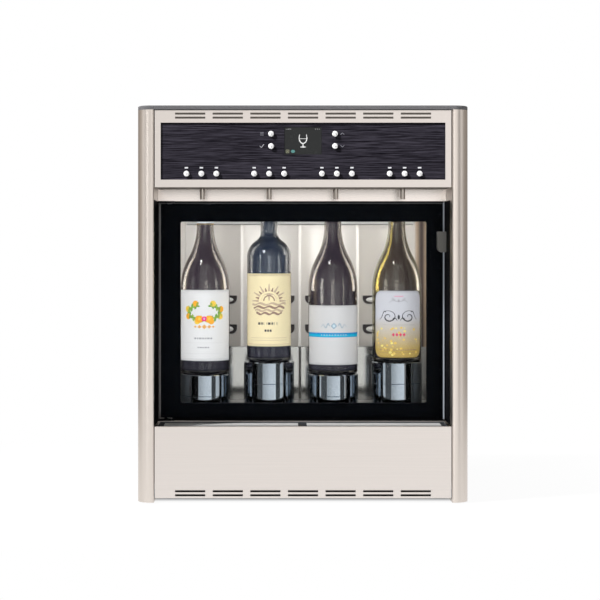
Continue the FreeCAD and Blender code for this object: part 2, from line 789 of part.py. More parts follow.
lipBack = face + s.basinLip
basinRear = lipBack + s.basinLength
basinFloor = s.ledgeTop - s.basinDepth
shelfBack = linerFront - s.seatGap
lowerOutline = [
    (face, s.stripTop + s.seatGap),
    (face, s.ledgeTop),
    (lipBack, s.ledgeTop),
    (lipBack, basinFloor),
    (basinRear, basinFloor),
    (basinRear, s.ledgeTop),
    (shelfBack, s.ledgeTop),
    (shelfBack, s.ledgeTop - gauge),
    (basinRear + gauge, s.ledgeTop - gauge),
    (basinRear + gauge, basinFloor - gauge),
    (lipBack - gauge, basinFloor - gauge),
    (lipBack - gauge, s.ledgeTop - gauge),
    (face + gauge, s.ledgeTop - gauge),
    (face + gauge, s.stripTop + s.seatGap),
]
lower = new_body("lower_front_panel")
lowerHalf = pillarInside - s.panelEndGap
pad(lower, "YZ", [lowerOutline], -lowerHalf, lowerHalf)
round_edges(lower, s.ledgeBend, lambda m, a: near(m.y, face) and near(m.z, s.ledgeTop))

stripFace = face + s.stripSetback
stripHalf = pillarInside - s.stripEndGap
stripBottom = s.footHeight - gauge
stripOutline = [
    (stripFace, stripBottom),
    (stripFace + gauge + s.stripFlange, stripBottom),
    (stripFace + gauge + s.stripFlange, s.footHeight),
    (stripFace + gauge, s.footHeight),
    (stripFace + gauge, s.stripTop),
    (stripFace, s.stripTop),
]
strip = new_body("lower_vent_strip")
pad(strip, "YZ", [stripOutline], -stripHalf, stripHalf)
vent_slots(strip, s.stripTop - s.stripSlotMargin, stripFace, stripFace + gauge)


# Controls

plate = new_body("control_plate")
plateEdge = s.plateWidth / 2 + s.plateLap
plateLevels = (s.plateBottom - s.plateLap, s.plateTop + s.plateLap)
pad(plate, "XZ", [rectangle(mirrored(plateEdge), plateLevels)], plateFace, plateBack)
screen = (mirrored(s.screenWidth / 2), span(s.screenMiddle, s.screenHeight))
menuPlaces = {
    "menu_button": (-s.menuButtonOffset, s.menuUpperLevel),
    "ok_button": (-s.menuButtonOffset, s.menuLowerLevel),
    "up_button": (s.menuButtonOffset, s.menuUpperLevel),
    "down_button": (s.menuButtonOffset, s.menuLowerLevel),
}
buttonHole = s.buttonRadius + s.seatGap
menuHoles = [(x, z, buttonHole) for x, z in menuPlaces.values()]
pocket(plate, "XZ", [rectangle(*screen)] + menuHoles, plateFace, plateBack)
pourOffsets = [-s.pourButtonPitch, centre, s.pourButtonPitch]
lensLevel = s.pourButtonLevel + s.lensRise
lensSlot = (s.lensWidth + 2 * s.lensPlay, s.lensHeight + 2 * s.lensPlay)
firstGroup = []
for offset in pourOffsets:
    x = bottle_x(0) + offset
    firstGroup.append((x, s.pourButtonLevel, buttonHole))
    firstGroup.append(rectangle(span(x, lensSlot[0]), span(lensLevel, lensSlot[1])))
groupHoles = pocket(plate, "XZ", firstGroup, plateFace, plateBack)
repeat(plate, groupHoles, "X", 4, s.bottlePitch)

screenX, screenZ = screen
keep(
    "display_module",
    fuse(
        block(
            (screenX[0] + s.seatGap, screenX[1] - s.seatGap),
            (plateFace + s.screenInset, plateBack),
            (screenZ[0] + s.seatGap, screenZ[1] - s.seatGap),
        ),
        block(
            (screenX[0] - s.displayLap, screenX[1] + s.displayLap),
            (plateBack, plateBack + s.displayDepth),
            (screenZ[0] - s.displayLap, screenZ[1] + s.displayLap),
        ),
    ),
)

buttonTip = plateFace - s.buttonStand
domeSphere = (s.buttonRadius * s.buttonRadius + s.buttonDome * s.buttonDome) / (
    2 * s.buttonDome
)
flangeFront = plateBack + s.seatGap
flangeBack = flangeFront + s.flangeGauge
stemEnd = flangeBack + s.stemLength


def push_button(label, x, z):
    """Domed cap, retaining flange behind the plate and stem, turned about Y."""
    outline = [
        (centre, buttonTip, "left", domeSphere),
        (s.buttonRadius, buttonTip + s.buttonDome),
        (s.buttonRadius, flangeFront),
        (s.buttonFlange, flangeFront),
        (s.buttonFlange, flangeBack),
        (s.stemRadius, flangeBack),
        (s.stemRadius, stemEnd),
        (centre, stemEnd),
    ]
    body = new_body(label)
    revolve(body, "XY", outline, "Y")
    bind(body, "Placement.Base.x", x)
    bind(body, "Placement.Base.z", z)


buttonPlaces = dict(menuPlaces)
for i in bottles:
    for offset, pour in zip(pourOffsets, ("small", "medium", "large")):
        buttonPlaces[f"{pour}_pour_button_{i + 1}"] = (bottle_x(i) + offset, s.pourButtonLevel)
for label, (x, z) in buttonPlaces.items():
    push_button(label, x, z)

switchFace = stemEnd + s.buttonTravel + s.seatGap
boardFace = switchFace + s.switchDepth
boardHalf = s.plateWidth / 2
lensZ = span(lensLevel, s.lensHeight)
lenses = [
    block(span(bottle_x(i) + offset, s.lensWidth), (plateFace - s.lensPlay, boardFace), lensZ)
    for i in bottles
    for offset in pourOffsets
]
keep("indicator_lenses", group(*lenses))

switches = [
    block(span(x, s.switchWidth), (switchFace, boardFace), span(z, s.switchWidth))
    for x, z in buttonPlaces.values()
]
standoffInset = 4 * s.standoffRadius
standoffX = boardHalf - standoffInset
standoffLength = boardFace - plateBack
standoffs = [
    rod("Y", sign * standoffX, plateBack, z, s.standoffRadius, standoffLength)
    for sign in (-1, 1)
    for z in (s.plateBottom + standoffInset, s.plateTop - standoffInset)
]
boardY = (boardFace, boardFace + s.boardGauge)
board = block(mirrored(boardHalf), boardY, (s.plateBottom, s.plateTop))
keep("control_board", group(board, *switches, *standoffs))


# Bottles and their lifts

platformTops = [s.lowPlatform, s.highPlatform, s.lowPlatform, s.highPlatform]


def stand_on_axis(body, i):
    bind(body, "Placement.Base.x", bottle_x(i))
    bind(body, "Placement.Base.y", s.bottleAxis)


def platform(i):
    """Cup turned over its lift cylinder, and the piston rod that is screwed to its top wall."""
    top = platformTops[i]
    groove = top - s.grooveDrop
    outline = [
        (centre, top - s.platformTopWall),
        (s.platformRadius - s.platformWall, top - s.platformTopWall),
        (s.platformRadius - s.platformWall, top - s.platformSkirt),
        (s.platformRadius, top - s.platformSkirt),
        (s.platformRadius, groove - s.grooveDepth),
        (s.platformRadius - s.grooveDepth, groove),
        (s.platformRadius, groove + s.grooveDepth),
        (s.platformRadius, top - s.platformEdge),
        (s.platformRadius - s.platformEdge, top),
        (centre, top),
    ]
    cup = doc.addObject("PartDesign::Body", "Body")
    revolve(cup, "XZ", outline, "Z")
    stand_on_axis(cup, i)
    rodEnd = top - s.rodLength
    rodSize = (s.rodRadius, s.rodLength - s.platformTopWall)
    piston = rod("Z", bottle_x(i), s.bottleAxis, rodEnd, *rodSize)
    keep(f"bottle_platform_{i + 1}", group(cup, piston))


def bottle(i, radius, drop, sweep, neckSweep):
    """Hollow bottle: its shoulder is an outward arc that runs into an inward one."""
    base = platformTops[i]
    wall = s.glassWall
    shoulder = s.mouthLevel - drop
    both = sweep + neckSweep
    run = radius - s.neckRadius
    rise = root(both * both - (both - run) * (both - run))
    neckStart = shoulder + rise
    share = sweep / both
    meetRadius = radius - run * share
    meetLevel = shoulder + rise * share
    slope = (both - run) / both
    steep = rise / both
    lip = s.neckRadius + s.lipStand
    lipLow = s.mouthLevel - s.lipHeight
    ring = radius - 3 * s.heelRadius
    outline = [
        (centre, base + s.punt),
        (ring, base),
        (radius - s.heelRadius, base, "left", s.heelRadius),
        (radius, base + s.heelRadius),
        (radius, shoulder, "left", sweep),
        (meetRadius, meetLevel, "right", neckSweep),
        (s.neckRadius, neckStart),
        (s.neckRadius, lipLow),
        (lip, lipLow),
        (lip, s.mouthLevel),
        (s.mouthBore, s.mouthLevel),
        (s.mouthBore, lipLow - wall),
        (s.neckRadius - wall, lipLow - 2 * wall),
        (s.neckRadius - wall, neckStart, "left", neckSweep + wall),
        (meetRadius - wall * slope, meetLevel - wall * steep, "right", sweep - wall),
        (radius - wall, shoulder),
        (radius - wall, base + s.heelRadius + wall),
        (ring, base + 2 * wall),
        (centre, base + s.punt + wall),
    ]
    body = new_body(f"bottle_{i + 1}")
    revolve(body, "XZ", outline, "Z")
    stand_on_axis(body, i)


for i in bottles:
    platform(i)
    if i == 1:
        bottle(i, s.squareRadius, s.squareDrop, s.squareSweep, s.squareNeckSweep)
    else:
        bottle(i, s.slopedRadius, s.slopedDrop, s.slopedSweep, s.slopedSweep)


def on_axis(i, low, high, radius):
    return rod("Z", bottle_x(i), s.bottleAxis, low, radius, high - low)


keep(
    "lift_cylinders",
    group(
        *[
            cut(
                on_axis(i, panTop, s.cylinderTop, s.cylinderRadius),
                on_axis(i, s.cylinderFloor, s.cylinderTop, s.rodRadius + s.rodPlay),
            )
            for i in bottles
        ]
    ),
)


# Taps

ceilingTop = s.linerCeiling + s.linerGauge
headFront = s.bottleAxis - s.headRadius
spoutStart = headFront + s.portDepth


def tap_head(i):
    """Block over the bottle's mouth, with ports for the dip tube and the spout."""
    x, level = bottle_x(i), s.spoutLevel
    return cut(
        on_axis(i, ceilingTop, s.headTop, s.headRadius),
        on_axis(i, ceilingTop, s.headSocketTop, s.headBore),
        on_axis(i, s.headSocketTop, level, s.tubeRadius + s.portPlay),
        rod("Y", x, headFront, level, s.spoutRadius + s.portPlay, s.portDepth),
        rod("Y", x, headFront, level, s.tubeBore, s.headRadius),
    )


def stopper(i):
    """Tapered silicone plug under a flange, with a bore for the dip tube."""
    flangeLow = s.mouthLevel + s.seatGap
    plug = doc.addObject("Part::Cone", "Plug")
    bind(plug, "Radius1", s.sealTip)
    bind(plug, "Radius2", s.sealRadius)
    bind(plug, "Height", s.sealLength + s.seatGap)
    place(plug, "Z", bottle_x(i), s.bottleAxis, s.mouthLevel - s.sealLength)
    flange = on_axis(i, flangeLow, s.headSocketTop, s.headBore - s.seatGap)
    tip = s.mouthLevel - s.sealLength
    bore = on_axis(i, tip, s.headSocketTop, s.tubeRadius + s.portPlay)
    return cut(fuse(plug, flange), bore)


def dip_tube(i):
    low = platformTops[i] + s.punt + s.glassWall + s.tubeLift
    return cut(
        on_axis(i, low, s.spoutLevel, s.tubeRadius), on_axis(i, low, s.spoutLevel, s.tubeBore)
    )


def spout_core(i, radius):
    """Run from the tap head, quarter bend and drop to the tip, as one solid."""
    x = bottle_x(i)
    runStart = spoutY + s.spoutBend
    drop = s.spoutLevel - s.spoutBend
    run = rod("Y", x, runStart, s.spoutLevel, radius, spoutStart - runStart)
    fall = rod("Z", x, spoutY, s.spoutTip, radius, drop - s.spoutTip)
    bend = doc.addObject("Part::Torus", "Bend")
    bind(bend, "Radius1", s.spoutBend)
    bind(bend, "Radius2", radius)
    bend.Angle3 = 90
    place(bend, "X", x, runStart, drop)
    bend.Placement = Placement(
        bend.Placement.Base, TURNS["X"].multiply(Rotation(Vector(0, 0, 1), 180))
    )
    return fuse(run, bend, fall)


keep("tap_heads", group(*[tap_head(i) for i in bottles]))
keep("stopper_seals", group(*[stopper(i) for i in bottles]))
keep("dip_tubes", group(*[dip_tube(i) for i in bottles]))
keep(
    "spouts",
    group(*[cut(spout_core(i, s.spoutRadius), spout_core(i, s.spoutBore)) for i in bottles]),
)

manifoldBack = s.bottleAxis + s.manifoldDepth / 2
fittingFront = back - s.fittingLength
boreFloor = back - s.fittingBoreLength
keep(
    "gas_manifold",
    group(
        block(
            mirrored(s.manifoldWidth / 2),
            (s.bottleAxis - s.manifoldDepth / 2, manifoldBack),
            (s.headTop, s.headTop + s.manifoldHeight),
        ),
        rod("Y", centre, manifoldBack, gasLevel, s.gasTubeRadius, fittingFront - manifoldBack),
        cut(
            rod("Y", centre, fittingFront, gasLevel, s.fittingRadius, s.fittingLength),
            rod("Y", centre, boreFloor, gasLevel, s.fittingBore, s.fittingBoreLength),
        ),
    ),
)


# Door

windowX = (-s.windowLeft, s.windowRight)
windowZ = (s.windowBottom, s.windowTop)
frameHalf = s.doorHalfWidth - s.paneMargin
frameZ = (s.doorBottom + s.paneMargin, s.doorTop - s.paneMargin)
rebateX = (windowX[0] - s.paneRebate, windowX[1] + s.paneRebate)
rebateZ = (windowZ[0] - s.paneRebate, windowZ[1] + s.paneRebate)
rebateFront = frameBack - s.glassGauge
hingeX = -s.doorHalfWidth + s.hingeInset
hingeY = glassFace + s.hingeSetback

keep(
    "door_glass",
    group(
        block(mirrored(s.doorHalfWidth), (glassFace, glassBack), (s.doorBottom, s.doorTop)),
        block(
            (rebateX[0] + s.seatGap, rebateX[1] - s.seatGap),
            (rebateFront, frameBack),
            (rebateZ[0] + s.seatGap, rebateZ[1] - s.seatGap),
        ),
    ),
)

frame = new_body("door_frame")
pad(frame, "XZ", [rectangle(mirrored(frameHalf), frameZ)], glassBack, frameBack)
pocket(frame, "XZ", [rectangle(windowX, windowZ)], glassBack, frameBack)
round_edges(
    frame,
    s.windowCorner,
    lambda m, a: abs(a.y) > 0.99 and not near(abs(m.x), frameHalf),
)
pocket(frame, "XZ", [rectangle(rebateX, rebateZ)], rebateFront, frameBack)
pinHole = (hingeX, hingeY, s.pinRadius + s.pinPlay)
pocket(frame, "XY", [pinHole], frameZ[1] - s.pinReach, frameZ[1])
pocket(frame, "XY", [pinHole], frameZ[0], frameZ[0] + s.pinReach)

mouthHalf = s.linerHalfWidth - s.mouthInset
mouthZ = (s.mouthBottom, s.mouthTop)
gasketBack = frameBack + s.gasketDepth
gasket = new_body("door_gasket")
gasketX = mirrored(mouthHalf + s.gasketWidth)
gasketZ = (mouthZ[0] - s.gasketWidth, mouthZ[1] + s.gasketWidth)
pad(gasket, "XZ", [rectangle(gasketX, gasketZ)], frameBack, gasketBack)
pocket(gasket, "XZ", [rectangle(mirrored(mouthHalf), mouthZ)], frameBack, gasketBack)

handle = new_body("door_handle")
handleRight = s.doorHalfWidth + s.handleOverhang
handleX = (handleRight - s.handleWidth, handleRight)
handleZ = (s.handleBottom, s.handleBottom + s.handleHeight)
pad(handle, "XZ", [rectangle(handleX, handleZ)], glassFace - s.handleStand, glassFace)
round_edges(
    handle,
    s.handleCorner,
    lambda m, a: abs(a.y) > 0.99 and near(m.x, handleX[0]) and near(m.z, handleZ[0]),
)

surroundX = (pillarInside - s.surroundGauge, pillarInside)
surroundY = (front + s.surroundFront, front + s.pillarReturn)
hingeStripY = (front + s.hingeStripFront, front + s.pillarReturn)
surroundZ = (s.ledgeTop, s.railBottom - s.seatGap)
plateX = (-surroundX[0], -surroundX[0] + s.hingePlateWidth)
plateY = span(hingeY, s.hingePlateDepth)
lowerPlateZ = (surroundZ[0], surroundZ[0] + s.hingePlate)
upperPlateZ = (surroundZ[1] - s.hingePlate, surroundZ[1])
lowerPinTop = frameZ[0] + s.pinReach - s.seatGap
upperPinLow = frameZ[1] - s.pinReach + s.seatGap
keep(
    "door_surround",
    group(
        fuse(
            block((-surroundX[1], -surroundX[0]), hingeStripY, surroundZ),
            block(plateX, plateY, lowerPlateZ),
            block(plateX, plateY, upperPlateZ),
            rod("Z", hingeX, hingeY, lowerPlateZ[0], s.pinRadius, lowerPinTop - lowerPlateZ[0]),
            rod("Z", hingeX, hingeY, upperPinLow, s.pinRadius, upperPlateZ[1] - upperPinLow),
        ),
        block(surroundX, surroundY, surroundZ),
    ),
)


# Cabinet

linerHalf = s.linerHalfWidth
linerFlange = (linerFront, linerFront + s.linerGauge)
liner = new_body("cabinet_liner")
flangeZ = (s.ledgeTop + s.seatGap, s.railBottom - s.seatGap)
pad(liner, "XZ", [rectangle(mirrored(panHalf), flangeZ)], *linerFlange)
pad(
    liner,
    "XZ",
    [
        rectangle(
            mirrored(linerHalf + s.linerGauge),
            (s.linerFloor - s.linerGauge, ceilingTop),
        )
    ],
    linerFlange[1],
    linerBack + s.linerGauge,
)
pocket(
    liner,
    "XZ",
    [rectangle(mirrored(linerHalf), (s.linerFloor, s.linerCeiling))],
    linerFlange[1],
    linerBack,
)
pocket(liner, "XZ", [rectangle(mirrored(mouthHalf), mouthZ)], *linerFlange)
floorHole = (bottle_x(0), s.bottleAxis, s.platformRadius + s.platformPlay)
floorHoles = pocket(liner, "XY", [floorHole], s.linerFloor - s.linerGauge, s.linerFloor)
repeat(liner, floorHoles, "X", 4, s.bottlePitch)
neckHole = (bottle_x(0), s.bottleAxis, s.neckHole)
neckHoles = pocket(liner, "XY", [neckHole], s.linerCeiling, ceilingTop)
repeat(liner, neckHoles, "X", 4, s.bottlePitch)

foamX = (linerHalf + s.linerGauge + s.seatGap, linerHalf + s.linerGauge + s.seatGap + s.foamGauge)
foamZ = (s.linerFloor - s.linerGauge, ceilingTop)
foamFront = linerBack + s.linerGauge + s.seatGap
foamBack = foamFront + s.foamGauge
sideFoamY = (linerFlange[1] + s.seatGap, linerBack + s.linerGauge)
coldHalf = s.hubRadius
keep(
    "insulation",
    group(
        block((-foamX[1], -foamX[0]), sideFoamY, foamZ),
        block(foamX, sideFoamY, foamZ),
        cut(
            block(mirrored(foamX[1]), (foamFront, foamBack), foamZ),
            block(
                mirrored(coldHalf + s.seatGap),
                (foamFront, foamBack),
                (s.fanLevel - coldHalf - s.seatGap, s.fanLevel + coldHalf + s.seatGap),
            ),
        ),
    ),
)

wingX = linerHalf - s.seatGap
wingEnd = wingX - s.wingInset
nicheEdges = []
for i in bottles:
    middle = s.nichePitch * (i - 1.5)
    nicheEdges.append((middle - s.nicheWidth / 2, middle + s.nicheWidth / 2))
nicheFront = [(-wingX, ridge - s.wingRise), (-wingEnd, ridge)]
for low, high in nicheEdges:
    nicheFront += [(low, ridge, "right", s.nicheRadius), (high, ridge)]
nicheFront += [(wingEnd, ridge), (wingX, ridge - s.wingRise)]
nicheRear = [(wingX, ridge - s.wingRise + gauge), (wingEnd, ridge + gauge)]
for low, high in reversed(nicheEdges):
    nicheRear += [(high, ridge + gauge, "left", s.nicheRadius), (low, ridge + gauge)]
nicheRear += [(-wingEnd, ridge + gauge), (-wingX, ridge - s.wingRise + gauge)]
niche = new_body("niche_panel")
nicheTop = s.linerCeiling - s.seatGap
pad(niche, "XY", [nicheFront + nicheRear], s.seamLevel + s.seatGap, nicheTop)


def louvre(middle, low, high):
    """Air opening with a flat top and rounded lower corners."""
    left, right = middle - s.louvreHalfWidth, middle + s.louvreHalfWidth
    corner = s.louvreCorner
    return [
        (left, high),
        (left, low + corner, "left", corner),
        (left + corner, low),
        (right - corner, low, "left", corner),
        (right, low + corner),
        (right, high),
    ]


firstNiche = s.nichePitch * -1.5
louvres = pocket(
    niche,
    "XZ",
    [
        louvre(firstNiche, s.upperLouvreBottom, s.upperLouvreTop),
        louvre(firstNiche, s.lowerLouvreBottom, s.lowerLouvreTop),
    ],
    ridge,
    ridge + s.nicheRadius,
)
repeat(niche, louvres, "X", 4, s.nichePitch)

lowerBackY = (ridge - 2 * gauge, ridge - gauge)
lowerBackZ = (s.linerFloor, s.seamLevel)
keep(
    "lower_back_panels",
    group(
        block((-wingX, -s.centreJoint / 2), lowerBackY, lowerBackZ),
        block((s.centreJoint / 2, wingX), lowerBackY, lowerBackZ),
    ),
)

keep(
    "light_bar",
    block(
        mirrored(wingEnd - s.barInset),
        (ridge - s.barDepth, ridge),
        (s.barBottom, s.barBottom + s.barHeight),
    ),
)


# Drip tray

trayY = (lipBack + s.trayPlay, basinRear - s.trayPlay)
trayZ = (basinFloor + s.seatGap, s.ledgeTop - s.trayRecess)
trayInside = s.trayHalfWidth - s.trayWall
grilleY = (front + s.grilleFront, front + s.grilleFront + s.grilleDepth)
troughY = (trayY[0] + s.trayWall, grilleY[1] + s.seatGap)
shelfWall = troughY[1] + s.trayWall
trayFloor = trayZ[0] + s.trayWall
grilleLow = trayZ[1] - s.grilleGauge
ribs = [
    (grilleY[0] + s.ribInset, grilleY[0] + s.ribInset + s.ribWidth),
    (grilleY[1] - s.ribInset - s.ribWidth, grilleY[1] - s.ribInset),
]
keep(
    "drip_tray",
    fuse(
        cut(
            block(mirrored(s.trayHalfWidth), trayY, trayZ),
            block(mirrored(trayInside), troughY, (trayFloor, trayZ[1])),
            block(
                mirrored(trayInside),
                (shelfWall, trayY[1] - s.trayWall),
                (trayZ[0], trayZ[1] - s.trayWall),
            ),
        ),
        *[block(mirrored(trayInside), rib, (trayFloor, grilleLow)) for rib in ribs],
    ),
)


def grille(sign):
    """Plate over one half of the trough, with drain holes."""
    near_end, far_end = s.grilleSplit / 2, s.trayHalfWidth - s.grilleEnd
    ends = (near_end, far_end) if sign > 0 else (-far_end, -near_end)
    middle = (grilleY[0] + grilleY[1]) / 2
    holes = [
        rod(
            "Z",
            sign * (s.drainFirst + s.drainPitch * k),
            middle,
            grilleLow,
            s.drainRadius,
            s.grilleGauge,
        )
        for k in range(3)
    ]
    return cut(block(ends, grilleY, (grilleLow, trayZ[1])), *holes)


keep("drip_grille", group(grille(-1), grille(1)))


# Cooling and power

sinkFront = foamBack + s.seatGap
sinkFace = sinkFront + s.sinkBase
finTip = sinkFace + s.finHeight
fanX = mirrored(s.fanSize / 2)
fanZ = span(s.fanLevel, s.fanSize)
fins = round(s.finCount.number)
sink = new_body("heat_sink")
pad(sink, "XZ", [rectangle(fanX, fanZ)], sinkFront, sinkFace)
coldBlock = rectangle(mirrored(coldHalf), (s.fanLevel - coldHalf, s.fanLevel + coldHalf))
pad(sink, "XZ", [coldBlock], linerBack + s.linerGauge, sinkFront)
firstFin = span(s.finPitch * -(fins - 1) / 2, s.finGauge)
fin = pad(sink, "XZ", [rectangle(firstFin, fanZ)], sinkFace, finTip)
repeat(sink, fin, "X", fins, s.finPitch)

fanFront = finTip + s.seatGap
fanBack = fanFront + s.fanDepth
hubBack = fanBack - 2 * gauge
spokeZ = (s.fanLevel - s.fanBore, s.fanLevel + s.fanBore)
keep(
    "fan_frame",
    cut(
        fuse(
            cut(
                block(fanX, (fanFront, fanBack), fanZ),
                rod("Y", centre, fanFront, s.fanLevel, s.fanBore, s.fanDepth),
            ),
            rod("Y", centre, hubBack, s.fanLevel, s.hubRadius, fanBack - hubBack),
            block(mirrored(s.fanBore), (hubBack, fanBack), span(s.fanLevel, s.spokeWidth)),
            block(span(centre, s.spokeWidth), (hubBack, fanBack), spokeZ),
        ),
        rod("Y", centre, hubBack, s.fanLevel, s.fanShaft + s.shaftPlay, fanBack - hubBack),
    ),
)


def fan_rotor():
    """Hub on a shaft, with flat blades that lean against the fan axis."""
    blades = round(s.bladeCount.number)
    lean = s.bladeAngle.number
    skin = gauge.number
    start = fanFront.number + skin
    end = hubBack.number - skin
    depth = end - start
    reach = s.bladeReach.number
    yAxis = Vector(0, 1, 0)
    rotor = Part.makeCylinder(s.hubRadius.number, depth, Vector(0, start, 0), yAxis)
    stub = Vector(0, end, 0)
    shaft = Part.makeCylinder(s.fanShaft.number, fanBack.number - end, stub, yAxis)
    rotor = rotor.fuse(shaft)
    chord = (depth - 2 * skin) / math.cos(math.radians(lean))
    for k in range(blades):
        blade = Part.makeBox(reach, chord, skin)
        blade.translate(Vector(0, -chord / 2, -skin / 2))
        blade.rotate(Vector(), Vector(1, 0, 0), lean)
        blade.translate(Vector(0, (start + end) / 2, 0))
        blade.rotate(Vector(), yAxis, 360 * k / blades)
        rotor = rotor.fuse(blade)
    swept = Part.makeCylinder(reach, fanBack.number - start, Vector(0, start, 0), yAxis)
    return rotor.common(swept).removeSplitter()


rotor = doc.addObject("Part::Feature", "Rotor")
rotor.Shape = fan_rotor()
rotor.Placement = Placement(Vector(0, 0, s.fanLevel.number), Rotation())
keep("fan_rotor", rotor)

inletX = span(s.inletOffset, s.inletWidth)
inletZ = span(s.inletLevel, s.inletHeight)
socketFloor = back - s.inletSocket
contacts = [
    block(
        span(s.inletOffset + s.bladePitch * k, s.bladeGauge),
        (socketFloor, back - s.inletWall),
        span(s.inletLevel, s.bladeWidth),
    )
    for k in (-1, 0, 1)
]
keep(
    "power_inlet",
    fuse(
        cut(
            block(inletX, (back - s.inletDepth, back), inletZ),
            block(
                (inletX[0] + 2 * s.inletWall, inletX[1] - 2 * s.inletWall),
                (socketFloor, back),
                (inletZ[0] + s.inletWall, inletZ[1] - s.inletWall),
            ),
        ),
        *contacts,
    ),
)


# Check and write

doc.recompute()
for item in doc.Objects:
    if "Invalid" in item.State or "Error" in item.State:
        raise RuntimeError(f"{item.Label} failed: {item.State}")
for label, item in nodes.items():
    if item.Shape.isNull() or not item.Shape.isValid():
        raise RuntimeError(f"{label} has no valid shape")

os.makedirs("parts", exist_ok=True)
for label, item in nodes.items():
    item.Shape.exportStep(f"parts/{label}.step")
print(len(nodes), "nodes,", sum(len(item.Shape.Solids) for item in nodes.values()), "solids")
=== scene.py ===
import json
import math

import bmesh
import bpy
import numpy as np
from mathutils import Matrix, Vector

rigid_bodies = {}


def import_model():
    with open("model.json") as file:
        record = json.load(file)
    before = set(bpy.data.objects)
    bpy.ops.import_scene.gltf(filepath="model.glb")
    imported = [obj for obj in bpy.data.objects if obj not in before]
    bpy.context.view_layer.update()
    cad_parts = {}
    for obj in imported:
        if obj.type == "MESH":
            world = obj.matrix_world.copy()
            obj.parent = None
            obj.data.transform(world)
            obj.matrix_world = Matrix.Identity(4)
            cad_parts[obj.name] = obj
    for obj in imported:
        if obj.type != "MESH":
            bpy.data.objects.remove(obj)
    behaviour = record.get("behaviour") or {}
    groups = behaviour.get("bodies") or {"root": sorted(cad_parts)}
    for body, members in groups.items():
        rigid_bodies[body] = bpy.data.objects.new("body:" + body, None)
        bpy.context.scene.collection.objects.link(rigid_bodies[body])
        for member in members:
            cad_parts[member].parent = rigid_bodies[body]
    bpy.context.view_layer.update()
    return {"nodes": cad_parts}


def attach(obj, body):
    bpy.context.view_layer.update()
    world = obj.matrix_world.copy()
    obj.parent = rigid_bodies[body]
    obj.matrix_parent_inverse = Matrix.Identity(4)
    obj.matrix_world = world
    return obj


# Four-bottle wine dispenser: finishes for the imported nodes, and the thin things they carry.
# Lengths below are millimetres, as in the drawings; a mesh is written in metres.

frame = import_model()
nodes = frame["nodes"]
scene = bpy.context.scene
mm = 0.001
weld = 2e-6  # points nearer than this are one


# Surfaces: a grid of points (rows, columns, 3) becomes quads; rows cross columns gives the outward side.

def gridQuads(rows, columns, wrapRows=False, wrapColumns=False):
    # corner (i, j) joins (i + 1, j), (i + 1, j + 1) and (i, j + 1), counted round where a side is wrapped
    i, j = np.meshgrid(
        np.arange(rows if wrapRows else rows - 1),
        np.arange(columns if wrapColumns else columns - 1),
        indexing="ij",
    )
    ni, nj = (i + 1) % rows, (j + 1) % columns
    quads = np.stack([i * columns + j, ni * columns + j, ni * columns + nj, i * columns + nj], -1)
    return quads.reshape(-1, 4)


def makePiece(name, surfaces, materials, body, smooth=True, thickness=0.0):
    # surfaces: (points, material number) or (points, material number, wrapRows, wrapColumns)
    points, quads, picks, spread = [], [], [], []
    start = 0
    for surface in surfaces:
        grid, pick = surface[0], surface[1]
        wraps = surface[2:] if len(surface) > 2 else (False, False)
        rows, columns = grid.shape[:2]
        faces = gridQuads(rows, columns, *wraps) + start
        points.append(grid.reshape(-1, 3) * mm)
        quads.append(faces)
        picks.append(np.full(len(faces), pick))
        u, v = np.meshgrid(np.linspace(0, 1, rows), np.linspace(0, 1, columns), indexing="ij")
        spread.append(np.stack([u, v], -1).reshape(-1, 2))
        start += rows * columns
    points, quads = np.concatenate(points), np.concatenate(quads)
    picks, spread = np.concatenate(picks), np.concatenate(spread)
    mesh = bpy.data.meshes.new(name)
    mesh.from_pydata(points.tolist(), [], quads.tolist())
    mesh.polygons.foreach_set("material_index", picks.astype(np.int32))
    mesh.polygons.foreach_set("use_smooth", np.full(len(quads), smooth))
    layer = mesh.uv_layers.new(name="UVMap")
    layer.data.foreach_set("uv", spread[quads.reshape(-1)].astype(np.float32).reshape(-1))
    for material in materials:
        mesh.materials.append(material)
    # seams and poles are welded
    shell = bmesh.new()
    shell.from_mesh(mesh)
    bmesh.ops.remove_doubles(shell, verts=shell.verts, dist=weld)
    shell.to_mesh(mesh)
    shell.free()
    piece = bpy.data.objects.new(name, mesh)
    scene.collection.objects.link(piece)
    if thickness:
        wall = piece.modifiers.new("wall", "SOLIDIFY")
        wall.thickness, wall.offset = thickness * mm, -1
    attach(piece, body)
    return piece


def turned(profile, centre, steps=48, depth=None):
    # profile (n, 2) of radius and height, carried round an upright axis: x = r cos a, y = r sin a, z = height;
    # with a depth the axis points forward from there: x = r cos a, y = depth - height, z = r sin a
    profile = np.asarray(profile, float)
    angle = np.linspace(0, 2 * math.pi, steps, endpoint=False)
    r, h = profile[:, 0][None, :], profile[:, 1][None, :]
    c, s = np.cos(angle)[:, None], np.sin(angle)[:, None]
    if depth is None:
        return np.stack([centre[0] + r * c, centre[1] + r * s, h + 0 * c], -1)
    return np.stack([centre[0] + r * c, depth - h + 0 * c, centre[1] + r * s], -1)


def barBox(x0, x1, y0, y1, z0, z1):
    # closed bar: the rectangle of its ends, drawn in to a point at both, carried along x
    ring = np.array([(y0, z0), (y1, z0), (y1, z1), (y0, z1)])
    middle = ring.mean(0)
    ends = [(x0, 0.0), (x0, 1.0), (x1, 1.0), (x1, 0.0)]
    rows = [np.column_stack([np.full(4, x), middle + (ring - middle) * share]) for x, share in ends]
    return np.stack(rows, 1)


def patch(x0, x1, z0, z1, across=2, up=2):
    # flat rectangle: x grows with the rows, z with the columns
    x, z = np.meshgrid(np.linspace(x0, x1, across), np.linspace(z0, z1, up), indexing="ij")
    return np.stack([x, z], -1)


